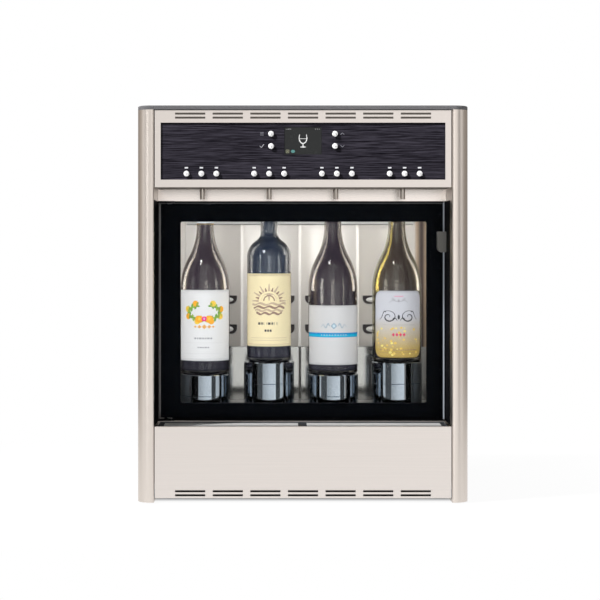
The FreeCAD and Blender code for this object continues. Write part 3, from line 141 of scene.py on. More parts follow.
def blob(x, z, rx, rz, outline=None, rings=4, steps=36, turn=0.0):
    # filled shape: share of the radius by angle, radius scaled by outline(angle)
    share, angle = np.meshgrid(np.linspace(0, 1, rings), np.linspace(0, 2 * math.pi, steps), indexing="ij")
    reach = share * (1 if outline is None else outline(angle))
    a, b = reach * rx * np.cos(angle), reach * rz * np.sin(angle)
    c, s = math.cos(turn), math.sin(turn)
    return np.stack([x + a * c - b * s, z + a * s + b * c], -1)


def stroke(path, width):
    # ribbon: each path point is moved half a width to either side along the path's normal
    path = np.asarray(path, float)
    width = np.broadcast_to(np.asarray(width, float), len(path))[:, None]
    along = np.gradient(path, axis=0)
    along /= np.maximum(np.linalg.norm(along, axis=1, keepdims=True), 1e-9)
    normal = np.stack([-along[:, 1], along[:, 0]], -1)
    return np.stack([path - normal * width / 2, path + normal * width / 2], 1)


def arc(x, z, rx, rz, start, end, count):
    # part of an ellipse from start to end, in degrees: x + rx cos a, z + rz sin a
    angle = np.radians(np.linspace(start, end, count))
    return np.stack([x + rx * np.cos(angle), z + rz * np.sin(angle)], -1)


def onPlane(flat, y):
    # a flat shape set upright at the depth y
    return np.stack([flat[..., 0], np.full(flat.shape[:-1], y), flat[..., 1]], -1)


def onBottle(flat, x, radius):
    # arc length x / radius is the angle round the bottle's axis, from its front
    angle = flat[..., 0] / radius
    return np.stack(
        [x + radius * np.sin(angle), bottleAxis - radius * np.cos(angle), flat[..., 1]], -1
    )


# Shader nodes

def addNode(tree, kind, settings=None, **sockets):
    # settings are the node's own fields, sockets the values of its inputs
    node = tree.nodes.new("ShaderNode" + kind)
    for key, value in (settings or {}).items():
        setattr(node, key, value)
    for key, value in sockets.items():
        node.inputs[key.replace("_", " ")].default_value = value
    return node


def wire(tree, *joins):
    # each join: a node and its output, then the node and the input that it feeds
    for source, output, target, entry in joins:
        tree.links.new(source.outputs[output], target.inputs[entry])


def startMaterial(name):
    material = bpy.data.materials.new(name)
    material.use_nodes = True
    tree = material.node_tree
    return material, tree, tree.nodes["Principled BSDF"]


def setShader(shader, **sockets):
    # a colour gets its fourth value here
    for key, value in sockets.items():
        if isinstance(value, tuple) and len(value) == 3:
            value = (*value, 1.0)
        shader.inputs[key.replace("_", " ")].default_value = value


def grain(tree, scale, detail=3.0):
    # noise on object coordinates, stretched by a mapping
    place = addNode(tree, "TexCoord")
    stretch = addNode(tree, "Mapping", Scale=scale if isinstance(scale, tuple) else (scale,) * 3)
    noise = addNode(tree, "TexNoise", Scale=1.0, Detail=detail)
    wire(tree, (place, "Object", stretch, "Vector"), (stretch, "Vector", noise, "Vector"))
    return noise.outputs[0]


def colourRamp(tree, stops):
    # stops: place from 0 to 1, colour
    ramp = addNode(tree, "ValToRGB")
    elements = ramp.color_ramp.elements
    while len(elements) < len(stops):
        elements.new(0.5)
    for element, (place, colour) in zip(elements, stops):
        element.position = place
        element.color = (*colour, 1)
    return ramp


def blendColours(tree, factor, first, second, low=0.3, high=0.7):
    ramp = colourRamp(tree, [(low, first), (high, second)])
    tree.links.new(factor, ramp.inputs["Fac"])
    return ramp.outputs["Color"]


def ranged(tree, factor, middle, swing):
    # the middle half of the noise carries the value from middle - swing to middle + swing
    span = addNode(
        tree, "MapRange", From_Min=0.25, From_Max=0.75, To_Min=middle - swing, To_Max=middle + swing
    )
    tree.links.new(factor, span.inputs["Value"])
    return span.outputs["Result"]


def bumped(tree, shader, height, strength, distance=0.0002):
    bump = addNode(tree, "Bump", Strength=strength, Distance=distance)
    tree.links.new(height, bump.inputs["Height"])
    wire(tree, (bump, "Normal", shader, "Normal"))


def shade(colour, factor):
    return tuple(min(1.0, share * factor) for share in colour)


def grained(name, colour, metal, rough, scale, spread, swing, bump, gloss=0.5):
    # a finish whose colour, roughness and height follow one stretched noise
    material, tree, shader = startMaterial(name)
    noise = grain(tree, scale)
    setShader(shader, Metallic=metal, Specular_IOR_Level=gloss)
    colours = blendColours(tree, noise, shade(colour, 1 - spread), shade(colour, 1 + spread))
    tree.links.new(colours, shader.inputs["Base Color"])
    tree.links.new(ranged(tree, noise, rough, swing), shader.inputs["Roughness"])
    bumped(tree, shader, noise, bump)
    return material


# Brushed steel has its grain across x or across z
acrossGrain, alongGrain = 900, 6
alongX = (alongGrain, acrossGrain, acrossGrain)
alongZ = (acrossGrain, acrossGrain, alongGrain)

# colour, metal, roughness, grain scale, spread of the colour, swing of the roughness, bump, gloss where it is dull
finishLooks = {
    "satinSteelFront": ((0.80, 0.745, 0.705), 1.0, 0.40, alongX, 0.02, 0.03, 0.015),
    "satinSteelSides": ((0.74, 0.675, 0.62), 1.0, 0.36, alongZ, 0.015, 0.02, 0.006),
    # the tap rail's copy of the steel is paler: painted light that makes up for the shade under the fascia
    "satinSteelRail": ((0.91, 0.85, 0.805), 1.0, 0.27, alongX, 0.004, 0.002, 0.0),
    "graphitePaint": ((0.130, 0.128, 0.134), 0.0, 0.42, 700, 0.08, 0.05, 0.10),
    "galvanisedSheet": ((0.52, 0.53, 0.54), 1.0, 0.42, 60, 0.12, 0.08, 0.03),
    "linerSteel": ((0.62, 0.60, 0.585), 0.7, 0.40, alongX, 0.04, 0.05, 0.02),
    "backPanelSteel": ((0.82, 0.785, 0.75), 0.56, 0.36, alongZ, 0.008, 0.02, 0.0),
    "lowerBackSteel": ((0.52, 0.51, 0.49), 0.92, 0.11, alongZ, 0.015, 0.02, 0.0),
    "insulationFoam": ((0.62, 0.58, 0.44), 0.0, 0.85, 300, 0.12, 0.05, 0.4),
    "boardLaminate": ((0.02, 0.14, 0.07), 0.0, 0.35, 200, 0.15, 0.05, 0.05),
    "lampDiffuser": ((0.80, 0.80, 0.79), 0.0, 0.5, 80, 0.02, 0.05, 0.02),
    "doorFrameBlack": ((0.0010, 0.0020, 0.0042), 0.0, 0.5, 120, 0.3, 0.08, 0.05, 0.04),
    "stripBlack": ((0.0016, 0.0016, 0.0020), 0.0, 0.5, 120, 0.3, 0.08, 0.05, 0.05),
    "gasketRubber": ((0.012, 0.012, 0.013), 0.0, 0.65, 500, 0.2, 0.06, 0.15, 0.2),
    "handleGrey": ((0.215, 0.210, 0.193), 0.0, 0.5, 900, 0.06, 0.05, 0.10, 0.35),
    "smokedChrome": ((0.41, 0.46, 0.52), 1.0, 0.045, 30, 0.03, 0.01, 0.0),
    "cylinderMetal": ((0.35, 0.36, 0.38), 1.0, 0.4, 200, 0.08, 0.06, 0.05),
    "tapPlastic": ((0.016, 0.016, 0.018), 0.0, 0.4, 600, 0.15, 0.06, 0.1),
    "sealSilicone": ((0.35, 0.35, 0.34), 0.0, 0.6, 400, 0.06, 0.05, 0.1),
    "spoutSteel": ((0.50, 0.455, 0.41), 1.0, 0.12, (900, 900, 40), 0.05, 0.04, 0.02),
    "traySteel": ((0.060, 0.063, 0.067), 0.3, 0.5, alongX, 0.05, 0.05, 0.03),
    "grilleSteel": ((0.62, 0.62, 0.61), 0.35, 0.5, alongX, 0.05, 0.05, 0.03),
    "fanPlastic": ((0.014, 0.014, 0.015), 0.0, 0.45, 500, 0.15, 0.06, 0.1),
    "footRubber": ((0.018, 0.018, 0.018), 0.0, 0.75, 600, 0.2, 0.06, 0.3),
    "inletPlastic": ((0.015, 0.015, 0.016), 0.0, 0.4, 500, 0.12, 0.06, 0.08),
    "fittingBrass": ((0.72, 0.60, 0.36), 1.0, 0.3, 300, 0.06, 0.06, 0.04),
    "finAluminium": ((0.70, 0.71, 0.72), 1.0, 0.35, (300, 300, 30), 0.05, 0.06, 0.04),
    "buttonWhite": ((0.86, 0.86, 0.86), 0.0, 0.32, 300, 0.015, 0.04, 0.02),
    "lensWhite": ((0.70, 0.71, 0.74), 0.0, 0.3, 300, 0.02, 0.04, 0.02),
    "screenGlass": ((0.026, 0.027, 0.027), 0.0, 0.25, 40, 0.05, 0.05, 0.0, 0.12),
    # dark sheets under the fascia, behind the vent slots and under the light bar: painted shade
    "soffitDark": ((0.17, 0.145, 0.125), 0.0, 0.6, 200, 0.1, 0.05, 0.05, 0.1),
    "baffleSteel": ((0.165, 0.145, 0.125), 0.2, 0.5, 200, 0.1, 0.05, 0.05),
}
# the light bar and the indicator lenses give light; the buttons are no lamps, so their glow is painted light
faintGlow = {"colour": (1.0, 0.98, 0.95), "lampDiffuser": 0.25, "lensWhite": 0.08, "buttonWhite": 0.12}
finishes = {name: grained(name, *look) for name, look in finishLooks.items()}
for name in ("lampDiffuser", "lensWhite", "buttonWhite"):
    setShader(
        finishes[name].node_tree.nodes["Principled BSDF"],
        Emission_Color=faintGlow["colour"], Emission_Strength=faintGlow[name],
    )


# Control plate: black sheet brushed in long wavy streaks

plateLook = {
    "dark": (0.0022, 0.0020, 0.0031),
    "pale": (0.030, 0.0272, 0.036),
    "paleFrom": 0.38, "paleTo": 0.66,
    "streakScale": (26, 30, 1100),
    "waveScale": (11, 11, 30),
    "waveLift": (0.4, 0.0, 1.2),
    "waveDetail": 2.0, "streakDetail": 5.0, "streakRough": 0.55,
    "rough": 0.5, "swing": 0.08, "bump": 0.15, "gloss": 0.02,
}


def brushedBlack(name, look):
    # streak noise read at a height that a slow noise lifts, so that its lines run in waves
    material, tree, shader = startMaterial(name)
    place = addNode(tree, "TexCoord")
    slow = addNode(tree, "Mapping", Scale=look["waveScale"])
    wave = addNode(tree, "TexNoise", Scale=1.0, Detail=look["waveDetail"])
    fast = addNode(tree, "Mapping", Scale=look["streakScale"])
    lift = addNode(tree, "VectorMath", {"operation": "MULTIPLY_ADD"})
    lift.inputs[1].default_value = look["waveLift"]
    streak = addNode(tree, "TexNoise", Scale=1.0, Detail=look["streakDetail"], Roughness=look["streakRough"])
    wire(
        tree, (place, "Object", slow, "Vector"), (place, "Object", fast, "Vector"),
        (slow, "Vector", wave, "Vector"), (wave, "Color", lift, 0), (fast, "Vector", lift, 2),
        (lift, "Vector", streak, "Vector"),
    )
    lines = streak.outputs[0]
    setShader(shader, Metallic=0.0, Specular_IOR_Level=look["gloss"])
    colours = blendColours(tree, lines, look["dark"], look["pale"], look["paleFrom"], look["paleTo"])
    tree.links.new(colours, shader.inputs["Base Color"])
    tree.links.new(ranged(tree, lines, look["rough"], look["swing"]), shader.inputs["Roughness"])
    bumped(tree, shader, lines, look["bump"])
    return material


finishes["brushedBlackPlate"] = brushedBlack("brushedBlackPlate", plateLook)


# The back panel's right wing: brown and dark bands painted towards the folded edge, by width: painted reflection and
# painted shade

wingPaintedReflection = {"from": 0.208, "to": 0.240, "stops": [
    (0.212, (1.0, 1.0, 1.0)), (0.2165, (0.70, 0.58, 0.46)), (0.2235, (0.13, 0.105, 0.11)),
    (0.2265, (0.15, 0.12, 0.12)), (0.2315, (0.62, 0.50, 0.38)), (0.2365, (0.14, 0.11, 0.10)),
]}


def paintWingReflection(material, look):
    # the grain colour is multiplied by a ramp of painted reflection and shade, read along the panel's width
    tree = material.node_tree
    base = tree.nodes["Principled BSDF"].inputs["Base Color"]
    grainColour = base.links[0].from_socket
    place = addNode(tree, "TexCoord")
    split = addNode(tree, "SeparateXYZ")
    across = addNode(tree, "MapRange", From_Min=look["from"], From_Max=look["to"])
    width = look["to"] - look["from"]
    ramp = colourRamp(tree, [((x - look["from"]) / width, tint) for x, tint in look["stops"]])
    mix = addNode(tree, "Mix", {"data_type": "RGBA", "blend_type": "MULTIPLY"})
    mix.inputs[0].default_value = 1.0
    wire(
        tree, (place, "Object", split, 0), (split, "X", across, "Value"),
        (across, "Result", ramp, "Fac"), (ramp, "Color", mix, 7),
    )
    tree.links.new(grainColour, mix.inputs[6])
    tree.links.new(mix.outputs[2], base)


paintWingReflection(finishes["backPanelSteel"], wingPaintedReflection)


# Glass: lamps pass through it, it keeps its own gloss, and it darkens where it is seen edge on

glassLooks = {  # tint, tint at the rim, index of refraction, roughness
    "smokyBottleGlass": ((0.95, 0.90, 0.82), (0.16, 0.13, 0.13), 1.36, 0.06),
    "greyBottleGlass": ((0.93, 0.93, 0.93), (0.14, 0.14, 0.16), 1.36, 0.06),
    "oliveBottleGlass": ((0.95, 0.90, 0.80), (0.20, 0.18, 0.09), 1.36, 0.06),
    "tubePlastic": ((0.93, 0.94, 0.94), (0.7, 0.7, 0.7), 1.3, 0.2),
}
rimFrom, rimTo = 0.42, 0.57  # facing values between which the tint turns to the rim's
paneLook = {"tint": (0.985, 0.99, 0.99), "bend": 1.06, "rough": 0.02}


def glassy(name, tint, rimTint, bend, rough):
    # refracting glass, but plain see-through for the rays that look for a lamp
    material, tree, shader = startMaterial(name)
    setShader(shader, Transmission_Weight=1.0, IOR=bend, Roughness=rough)
    edge = addNode(tree, "LayerWeight", Blend=0.5)
    colours = blendColours(tree, edge.outputs["Facing"], tint, rimTint, rimFrom, rimTo)
    tree.links.new(colours, shader.inputs["Base Color"])
    clear = addNode(tree, "BsdfTransparent", Color=(*tint, 1))
    path = addNode(tree, "LightPath")
    mix = addNode(tree, "MixShader")
    wire(
        tree, (path, "Is Shadow Ray", mix, 0), (shader, 0, mix, 1), (clear, 0, mix, 2),
        (mix, 0, tree.nodes["Material Output"], "Surface"),
    )
    return material


def paneGlass(name, look):
    # clear pane: a little gloss over what stands behind it
    material, tree, shader = startMaterial(name)
    tree.nodes.remove(shader)
    clear = addNode(tree, "BsdfTransparent", Color=(*look["tint"], 1))
    gloss = addNode(tree, "BsdfGlossy", Color=(1, 1, 1, 1), Roughness=look["rough"])
    edge = addNode(tree, "Fresnel", IOR=look["bend"])
    mix = addNode(tree, "MixShader")
    wire(
        tree, (edge, 0, mix, 0), (clear, 0, mix, 1), (gloss, 0, mix, 2),
        (mix, 0, tree.nodes["Material Output"], "Surface"),
    )
    return material


finishes.update({name: glassy(name, *look) for name, look in glassLooks.items()})
finishes["doorPane"] = paneGlass("doorPane", paneLook)


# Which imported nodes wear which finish

wearers = {
    "satinSteelSides": "left_side_panel right_side_panel", "graphitePaint": "top_cover",
    "satinSteelFront": "upper_fascia lower_front_panel lower_vent_strip", "satinSteelRail": "tap_rail",
    "galvanisedSheet": "rear_panel base_pan", "footRubber": "feet", "brushedBlackPlate": "control_plate",
    "boardLaminate": "control_board", "lensWhite": "indicator_lenses", "screenGlass": "display_module",
    "linerSteel": "cabinet_liner", "insulationFoam": "insulation", "backPanelSteel": "niche_panel",
    "lowerBackSteel": "lower_back_panels", "lampDiffuser": "light_bar", "stripBlack": "door_surround",
    "doorPane": "door_glass", "doorFrameBlack": "door_frame", "gasketRubber": "door_gasket",
    "handleGrey": "door_handle", "cylinderMetal": "lift_cylinders", "tapPlastic": "tap_heads",
    "sealSilicone": "stopper_seals", "tubePlastic": "dip_tubes", "spoutSteel": "spouts",
    "fittingBrass": "gas_manifold", "traySteel": "drip_tray", "grilleSteel": "drip_grille",
    "finAluminium": "heat_sink", "fanPlastic": "fan_frame fan_rotor", "inletPlastic": "power_inlet",
    "smokyBottleGlass": "bottle_1 bottle_3", "greyBottleGlass": "bottle_2", "oliveBottleGlass": "bottle_4",
}
worn = {node: finish for finish, names in wearers.items() for node in names.split()}
buttons = sorted(name for name in nodes if name.endswith("_button") or "pour_button" in name)
worn.update(dict.fromkeys(buttons, "buttonWhite"))
worn.update({name: "smokedChrome" for name in nodes if name.startswith("bottle_platform")})
for node, finish in worn.items():
    materials = nodes[node].data.materials
    if len(materials) == 0:
        materials.append(finishes[finish])
    for slot in range(len(materials)):
        materials[slot] = finishes[finish]
print("dressed", len(worn), "of", len(nodes), "nodes; left:", sorted(set(nodes) - set(worn)))


# Bottles: wine, labels, capsule

bottleAxis = -20.0
bottlePlaces = [-171.6, -57.2, 57.2, 171.6]
bottleBases = [207.0, 229.0, 207.0, 229.0]
sloped = {"radius": 44.0, "shoulder": 359.0, "sweep": 117.0, "neckSweep": 117.0}
square = {"radius": 39.5, "shoulder": 415.0, "sweep": 36.0, "neckSweep": 18.0}
bottleForms = [sloped, square, sloped, sloped]
neckRadius, heelRadius, glassWall, punt = 15.0, 6.0, 3.0, 24.0


def bottleRadius(form, z):
    # an outward arc from the shoulder, then an inward one that ends in the neck
    radius, shoulder = form["radius"], form["shoulder"]
    sweep, neckSweep = form["sweep"], form["neckSweep"]
    both, run = sweep + neckSweep, radius - neckRadius
    rise = math.sqrt(both**2 - (both - run) ** 2)
    meet = shoulder + rise * sweep / both
    lower = radius - sweep + np.sqrt(np.maximum(sweep**2 - np.maximum(z - shoulder, 0) ** 2, 0))
    left = np.maximum(shoulder + rise - z, 0)
    upper = neckRadius + neckSweep - np.sqrt(np.maximum(neckSweep**2 - left**2, 0))
    return np.where(z < meet, lower, upper)


wine = {
    "fill": 0.90,  # share of the bottle's radius that the core takes behind the label
    "top": 500.0, "crown": (0.9, 0.6, 0.8),  # share of the top's radius, then how far its edge and middle rise
    "footHigh": 48.0, "footEase": 20.0, "footDepth": 0.8, "film": 0.4, "clear": 0.8,
    "paleFrom": 20.0, "paleTo": 150.0,  # heights over the base
    "foot": (0.022, 0.022, 0.034),
    "shoulders": [(0.034, 0.028, 0.042), (0.020, 0.027, 0.046), (0.026, 0.021, 0.034), (0.040, 0.033, 0.034)],
    "rough": 0.3, "gloss": 0.1,
}


def wineFinish(name, shoulder, base):
    # dark at the foot and paler to the shoulder, by height
    material, tree, shader = startMaterial(name)
    place = addNode(tree, "TexCoord")
    split = addNode(tree, "SeparateXYZ")
    low, high = (base + wine["paleFrom"]) * mm, (base + wine["paleTo"]) * mm
    rise = addNode(tree, "MapRange", From_Min=low, From_Max=high)
    wire(tree, (place, "Object", split, 0), (split, "Z", rise, "Value"))
    colours = blendColours(tree, rise.outputs["Result"], wine["foot"], shoulder, 0.0, 1.0)
    tree.links.new(colours, shader.inputs["Base Color"])
    setShader(shader, Roughness=wine["rough"], Specular_IOR_Level=wine["gloss"])
    return material


for i, (form, base) in enumerate(zip(bottleForms, bottleBases)):
    heights = np.linspace(base + heelRadius + glassWall, wine["top"], 100)
    outer = bottleRadius(form, heights)
    # the core fills the foot and draws in behind the label
    low = np.clip((base + wine["footHigh"] - heights) / wine["footEase"], 0, 1)
    thin = np.minimum(wine["fill"] * outer, outer - glassWall - wine["film"])
    radii = thin * (1 - low) + (outer - glassWall + wine["footDepth"]) * low
    ring = form["radius"] - 3 * heelRadius
    share, edge, middle = wine["crown"]
    profile = np.concatenate([
        [[0.0, base + punt + glassWall - wine["clear"]], [ring, base + 2 * glassWall - wine["clear"]]],
        np.stack([radii, heights], -1),
        [[radii[-1] * share, wine["top"] + edge], [0.0, wine["top"] + middle]],
    ])
    makePiece(
        f"wine_{i + 1}", [(turned(profile, (bottlePlaces[i], bottleAxis)), 0, True, False)],
        [wineFinish(f"wine{i + 1}", wine["shoulders"][i], base)], f"lift_{i + 1}",
    )
print("wine poured")


paperLook = {
    "scale": 500, "detail": 4.0, "dark": 0.97, "light": 1.02, "fadeFrom": 0.10, "fadeTo": 0.62,
    "rough": 0.6, "gloss": 0.3, "bump": 0.08,
}
inkLook = (0.0, 0.55, 900, 0.10, 0.05, 0.05)  # metal, roughness, grain scale, spread, swing, bump


def paper(name, colour, foot=None):
    # soft paper; with a foot colour it shades down the label's height by its own UV
    material, tree, shader = startMaterial(name)
    noise = grain(tree, paperLook["scale"], paperLook["detail"])
    colours = blendColours(tree, noise, shade(colour, paperLook["dark"]), shade(colour, paperLook["light"]))
    if foot:
        layer = addNode(tree, "UVMap")
        split = addNode(tree, "SeparateXYZ")
        fade = addNode(tree, "MapRange", From_Min=paperLook["fadeFrom"], From_Max=paperLook["fadeTo"])
        mix = addNode(tree, "Mix", {"data_type": "RGBA"})
        mix.inputs[6].default_value = (*foot, 1)
        wire(tree, (layer, 0, split, 0), (split, 1, fade, "Value"), (fade, 0, mix, 0))
        tree.links.new(colours, mix.inputs[7])
        colours = mix.outputs[2]
    tree.links.new(colours, shader.inputs["Base Color"])
    setShader(shader, Roughness=paperLook["rough"], Specular_IOR_Level=paperLook["gloss"])
    bumped(tree, shader, noise, paperLook["bump"])
    return material


def ink(name, colour):
    return grained(name, colour, *inkLook)


def labelSheet(width, low, high, corner, across=49, up=25):
    # rectangle whose columns shorten at the sides by the drop of a corner circle
    x = np.linspace(-width / 2, width / 2, across)
    over = np.clip(np.abs(x) - (width / 2 - corner), 0, corner)
    cut = corner - np.sqrt(np.maximum(corner**2 - over**2, 0))
    t = np.linspace(0, 1, up)[None, :]
    z = (low + cut)[:, None] * (1 - t) + (high - cut)[:, None] * t
    return np.stack([np.broadcast_to(x[:, None], z.shape), z], -1)


def dashes(x0, x1, z, height, lengths, gap):
    # a row of short bars from left to right
    bars, x, k = [], x0, 0
    while x + lengths[k % len(lengths)] <= x1 + 1e-6:
        length = lengths[k % len(lengths)]
        bars.append(patch(x, x + length, z - height / 2, z + height / 2))
        x += length + gap
        k += 1
    return bars


def leaf(angle):
    # reach by angle: a pointed oval along the first axis
    return np.abs(np.cos(angle)) ** 0.6 * 0.9 + 0.12


def ribbed(angle):
    # reach by angle: a circle with six soft lobes
    return 1.0 + 0.05 * np.cos(6 * angle)


def lozenge(x, z, half, height):
    # four-cornered: reach falls from the corner to the middle of a side
    return blob(x, z, half, height, lambda angle: 1 / (np.abs(np.cos(angle)) + np.abs(np.sin(angle))), 2, 25)


def halfRing(x, z, outer, inner):
    # upper half turn between two radii
    return np.stack([arc(x, z, outer, outer, 0, 180, 30), arc(x, z, inner, inner, 0, 180, 30)], 1)


inkColours = {
    "orange": (0.93, 0.42, 0.03), "yellow": (0.93, 0.62, 0.08), "green": (0.16, 0.36, 0.06),
    "moss": (0.30, 0.46, 0.06), "pink": (0.85, 0.02, 0.24), "lilac": (0.55, 0.45, 0.66),
    "gold": (0.80, 0.42, 0.12), "grey": (0.33, 0.33, 0.36), "pale": (0.62, 0.61, 0.62),
    "brown": (0.30, 0.19, 0.15), "sepia": (0.55, 0.42, 0.30), "black": (0.035, 0.035, 0.045),
    "blue": (0.0, 0.24, 0.56), "cyan": (0.0, 0.42, 0.66), "paleBlue": (0.55, 0.66, 0.74),
    "slate": (0.20, 0.32, 0.42), "red": (0.72, 0.05, 0.14), "ochre": (0.78, 0.55, 0.12),
    "lemon": (0.86, 0.74, 0.22),
}
inks = {name: ink("ink" + name[0].upper() + name[1:], colour) for name, colour in inkColours.items()}

labels = [
    {"low": 232.0, "high": 357.5, "width": 116.0, "corner": 0.0, "paper": paper("labelWhite", (0.80, 0.79, 0.80))},
    {"low": 257.5, "high": 386.5, "width": 107.0, "corner": 0.0, "paper": paper("labelCream", (0.86, 0.74, 0.47))},
    {"low": 225.0, "high": 330.0, "width": 118.0, "corner": 0.0, "paper": paper("labelPale", (0.61, 0.60, 0.61))},
    {"low": 238.0, "high": 356.0, "width": 98.0, "corner": 16.0,
     "paper": paper("labelSunny", (0.61, 0.61, 0.66), (0.52, 0.365, 0.105))},
]


# What is printed on each: x from the label's middle, z from the floor. A row of bars gives its two ends,
# its height on the label, the bars' height, their lengths and the gap; a rule its half length and levels.

def barRows(colour, *bars):
    # several rows of short bars in one colour
    return [(bar, colour) for row in bars for bar in dashes(*row)]


def rules(colour, half, levels, thick, across=25):
    # thin lines across the label, one at each level
    return [(patch(-half, half, z - thick / 2, z + thick / 2, across), colour) for z in levels]


wreath = {
    "z": 318.0, "rx": 30.0, "rz": 13.0, "leaves": 15, "start": 118, "sweep": 304,
    "upperLeaf": (7.2, 3.1), "lowerLeaf": (6.2, 2.7), "berry": (5.6, 5.4), "berryOut": (1.13, 1.32),
    "upperLean": 0.55, "lowerLean": -0.65,
    "flowers": (
        ((-9.0, 306, 7.6, 6.6), "orange", (-8.73, 306.6, 2.2, 2.6), "yellow"),
        ((9.0, 306, 7.6, 6.6), "orange", (8.73, 306.6, 2.2, 2.6), "yellow"),
        ((0, 306.5, 4.8, 4.4), "pink", (0, 306.8, 1.9, 1.9), "lilac"),
    ),
    "beadZ": 292.6,
    "beads": ((-16.2, 3.0, 2.0), (-8.6, 3.8, 3.2), (0.2, 4.6, 4.2), (9.0, 3.8, 3.2), (16.2, 3.0, 2.0)),
    "bars": ((-18, 18, 272, 3.0, (3.2, 2.2, 4.0), 1.7), (-12, 12, 256, 2.4, (2.4, 3.4), 1.6)),
    "rules": ((352, 0.35), (264.3, 0.35), (245, 0.3), (236, 0.5)),
}


def wreathLabel(look):
    # leaves along an open ring, berries outside it, a blossom where its ends meet
    art = []
    for k in range(look["leaves"]):
        angle = math.radians(look["start"] + k * look["sweep"] / (look["leaves"] - 1))
        x, rise = look["rx"] * math.cos(angle), look["rz"] * math.sin(angle)
        z, along = look["z"] + rise, angle + math.pi / 2
        upper, lower = along + look["upperLean"], along + look["lowerLean"]
        art.append((blob(x, z, *look["upperLeaf"], leaf, turn=upper), "green"))
        art.append((blob(x, z, *look["lowerLeaf"], leaf, turn=lower), "moss" if k % 2 else "green"))
        if k % 2 == 0:
            out, up = look["berryOut"]
            art.append((blob(x * out, look["z"] + rise * up, *look["berry"]), "yellow" if k % 4 else "orange"))
    for petals, colour, heart, heartColour in look["flowers"]:
        art += [(blob(*petals, ribbed), colour), (blob(*heart), heartColour)]
    art += [(lozenge(x, look["beadZ"], half, height), "gold") for x, half, height in look["beads"]]
    art += barRows("grey", *look["bars"])
    for z, thick in look["rules"]:
        art += rules("pale", 42, [z], thick)
    return art


sunrise = {
    "frame": (46.3, 46.0, 261.5, 382.5, 0.6),  # upright lines' x, the others' half length and levels, thickness
    "z": 338, "disc": (14, 0.01), "ring": (10.5, 8.4),
    "rays": 13, "rayFrom": 17, "rayTo": (30.0, 23.5), "rayWidth": (4.2, 1.4), "flat": 1.12,
    "waves": 4, "waveTop": 332.5, "waveStep": 5.6,
    "bars": ((-20, 20, 298, 4.2, (4.4, 2.6, 6.4), 1.6), (-8, 8, 285.5, 4.0, (3.4, 3.0), 1.3)),
}


def sunriseLabel(look):
    # half a sun with rays over four waves, in a thin frame
    side, half, low, high, thick = look["frame"]
    art = rules("sepia", half, (high, low), thick)
    for x in (-side, side):
        art.append((patch(x - thick / 2, x + thick / 2, low - thick / 2, high + thick / 2, 2, 12), "sepia"))
    art.append((halfRing(0, look["z"], *look["disc"]), "sepia"))
    art.append((halfRing(0, look["z"], *look["ring"]), "brown"))
    for k in range(look["rays"]):
        angle = math.radians(k * 180 / (look["rays"] - 1))
        way = np.array([[math.cos(angle) * look["flat"], math.sin(angle)]])
        ray = np.linspace(look["rayFrom"], look["rayTo"][k % 2], 8)[:, None] * way + [0, look["z"]]
        art.append((stroke(ray, np.linspace(*look["rayWidth"], 8)), "brown" if k % 2 else "sepia"))
    t = np.linspace(-1, 1, 60)
    for k in range(look["waves"]):
        z = look["waveTop"] - look["waveStep"] * k + 1.5 * np.sin(9.5 * t + k * 1.5)
        width = 2.3 + 1.8 * np.abs(np.sin(4.7 * t + 0.8 * k))
        art.append((stroke(np.stack([t * (33 - 3 * k), z], -1), width), "brown" if k % 2 else "sepia"))
    return art + barRows("black", *look["bars"]) + rules("sepia", 36, (272.5, 268.5), 0.6)


waves = {
    "band": (59, 273.8, 281.8), "bandCore": (59, 274.6, 278.6), "dots": (-22.5, 23, 5.0), "dotZ": 277.8,
    "bars": ((-27, 27, 313.6, 1.6, (4.4, 2.4, 3.2), 1.2), (-11, 11, 317.6, 1.4, (2.4, 3.4), 1.2)),
    "z": 294, "lowerBars": (-15, 15, 268.4, 1.5, (3.8, 2.6), 1.4), "footSigns": (-12, -6, 0, 6, 12),
}


def waveLabel(look):
    # blue band with a pale line of dots, a lozenge between two waves over it
    art = []
    for (half, low, high), colour in ((look["band"], "blue"), (look["bandCore"], "cyan")):
        art.append((patch(-half, half, low, high, 41), colour))
    art += [(blob(x, look["dotZ"], 1.0, 1.0, None, 2, 14), "pale") for x in np.arange(*look["dots"])]
    art += barRows("pale", *look["bars"])
    t = np.linspace(0, 1, 60)
    for side in (-1, 1):
        wave = np.stack([side * (8 + 16 * t), look["z"] + 4.4 * np.sin(t * 11) * (1.1 - 0.8 * t)], -1)
        art.append((stroke(wave, 1.5 - 0.9 * t), "slate"))
    art.append((lozenge(0, look["z"], 5.6, 5.6), "slate"))
    art.append((lozenge(0, look["z"], 3.4, 3.4), "paleBlue"))
    art += barRows("pale", look["lowerBars"])
    art += [(lozenge(x, 246.0, 2.4 if x else 3.4, 1.5 if x else 2.2), "pale") for x in look["footSigns"]]
    return art + rules("pale", 50, [262.75], 0.3)


scrolls = {
    "z": 310, "middle": 18, "reach": 10.5, "start": 1.1, "turns": 8.4, "flat": 1.25,
    "smallSigns": (-6, -2, 2, 6), "redSigns": (-9.6, -3.2, 3.2, 9.6),
    "specks": 46, "speckHalf": 43, "speckFoot": 243, "speckRise": 48, "seed": 7,
    "bars": (-36, 38, 251.5, 1.5, (4.2, 2.0, 3.0), 1.2),
}


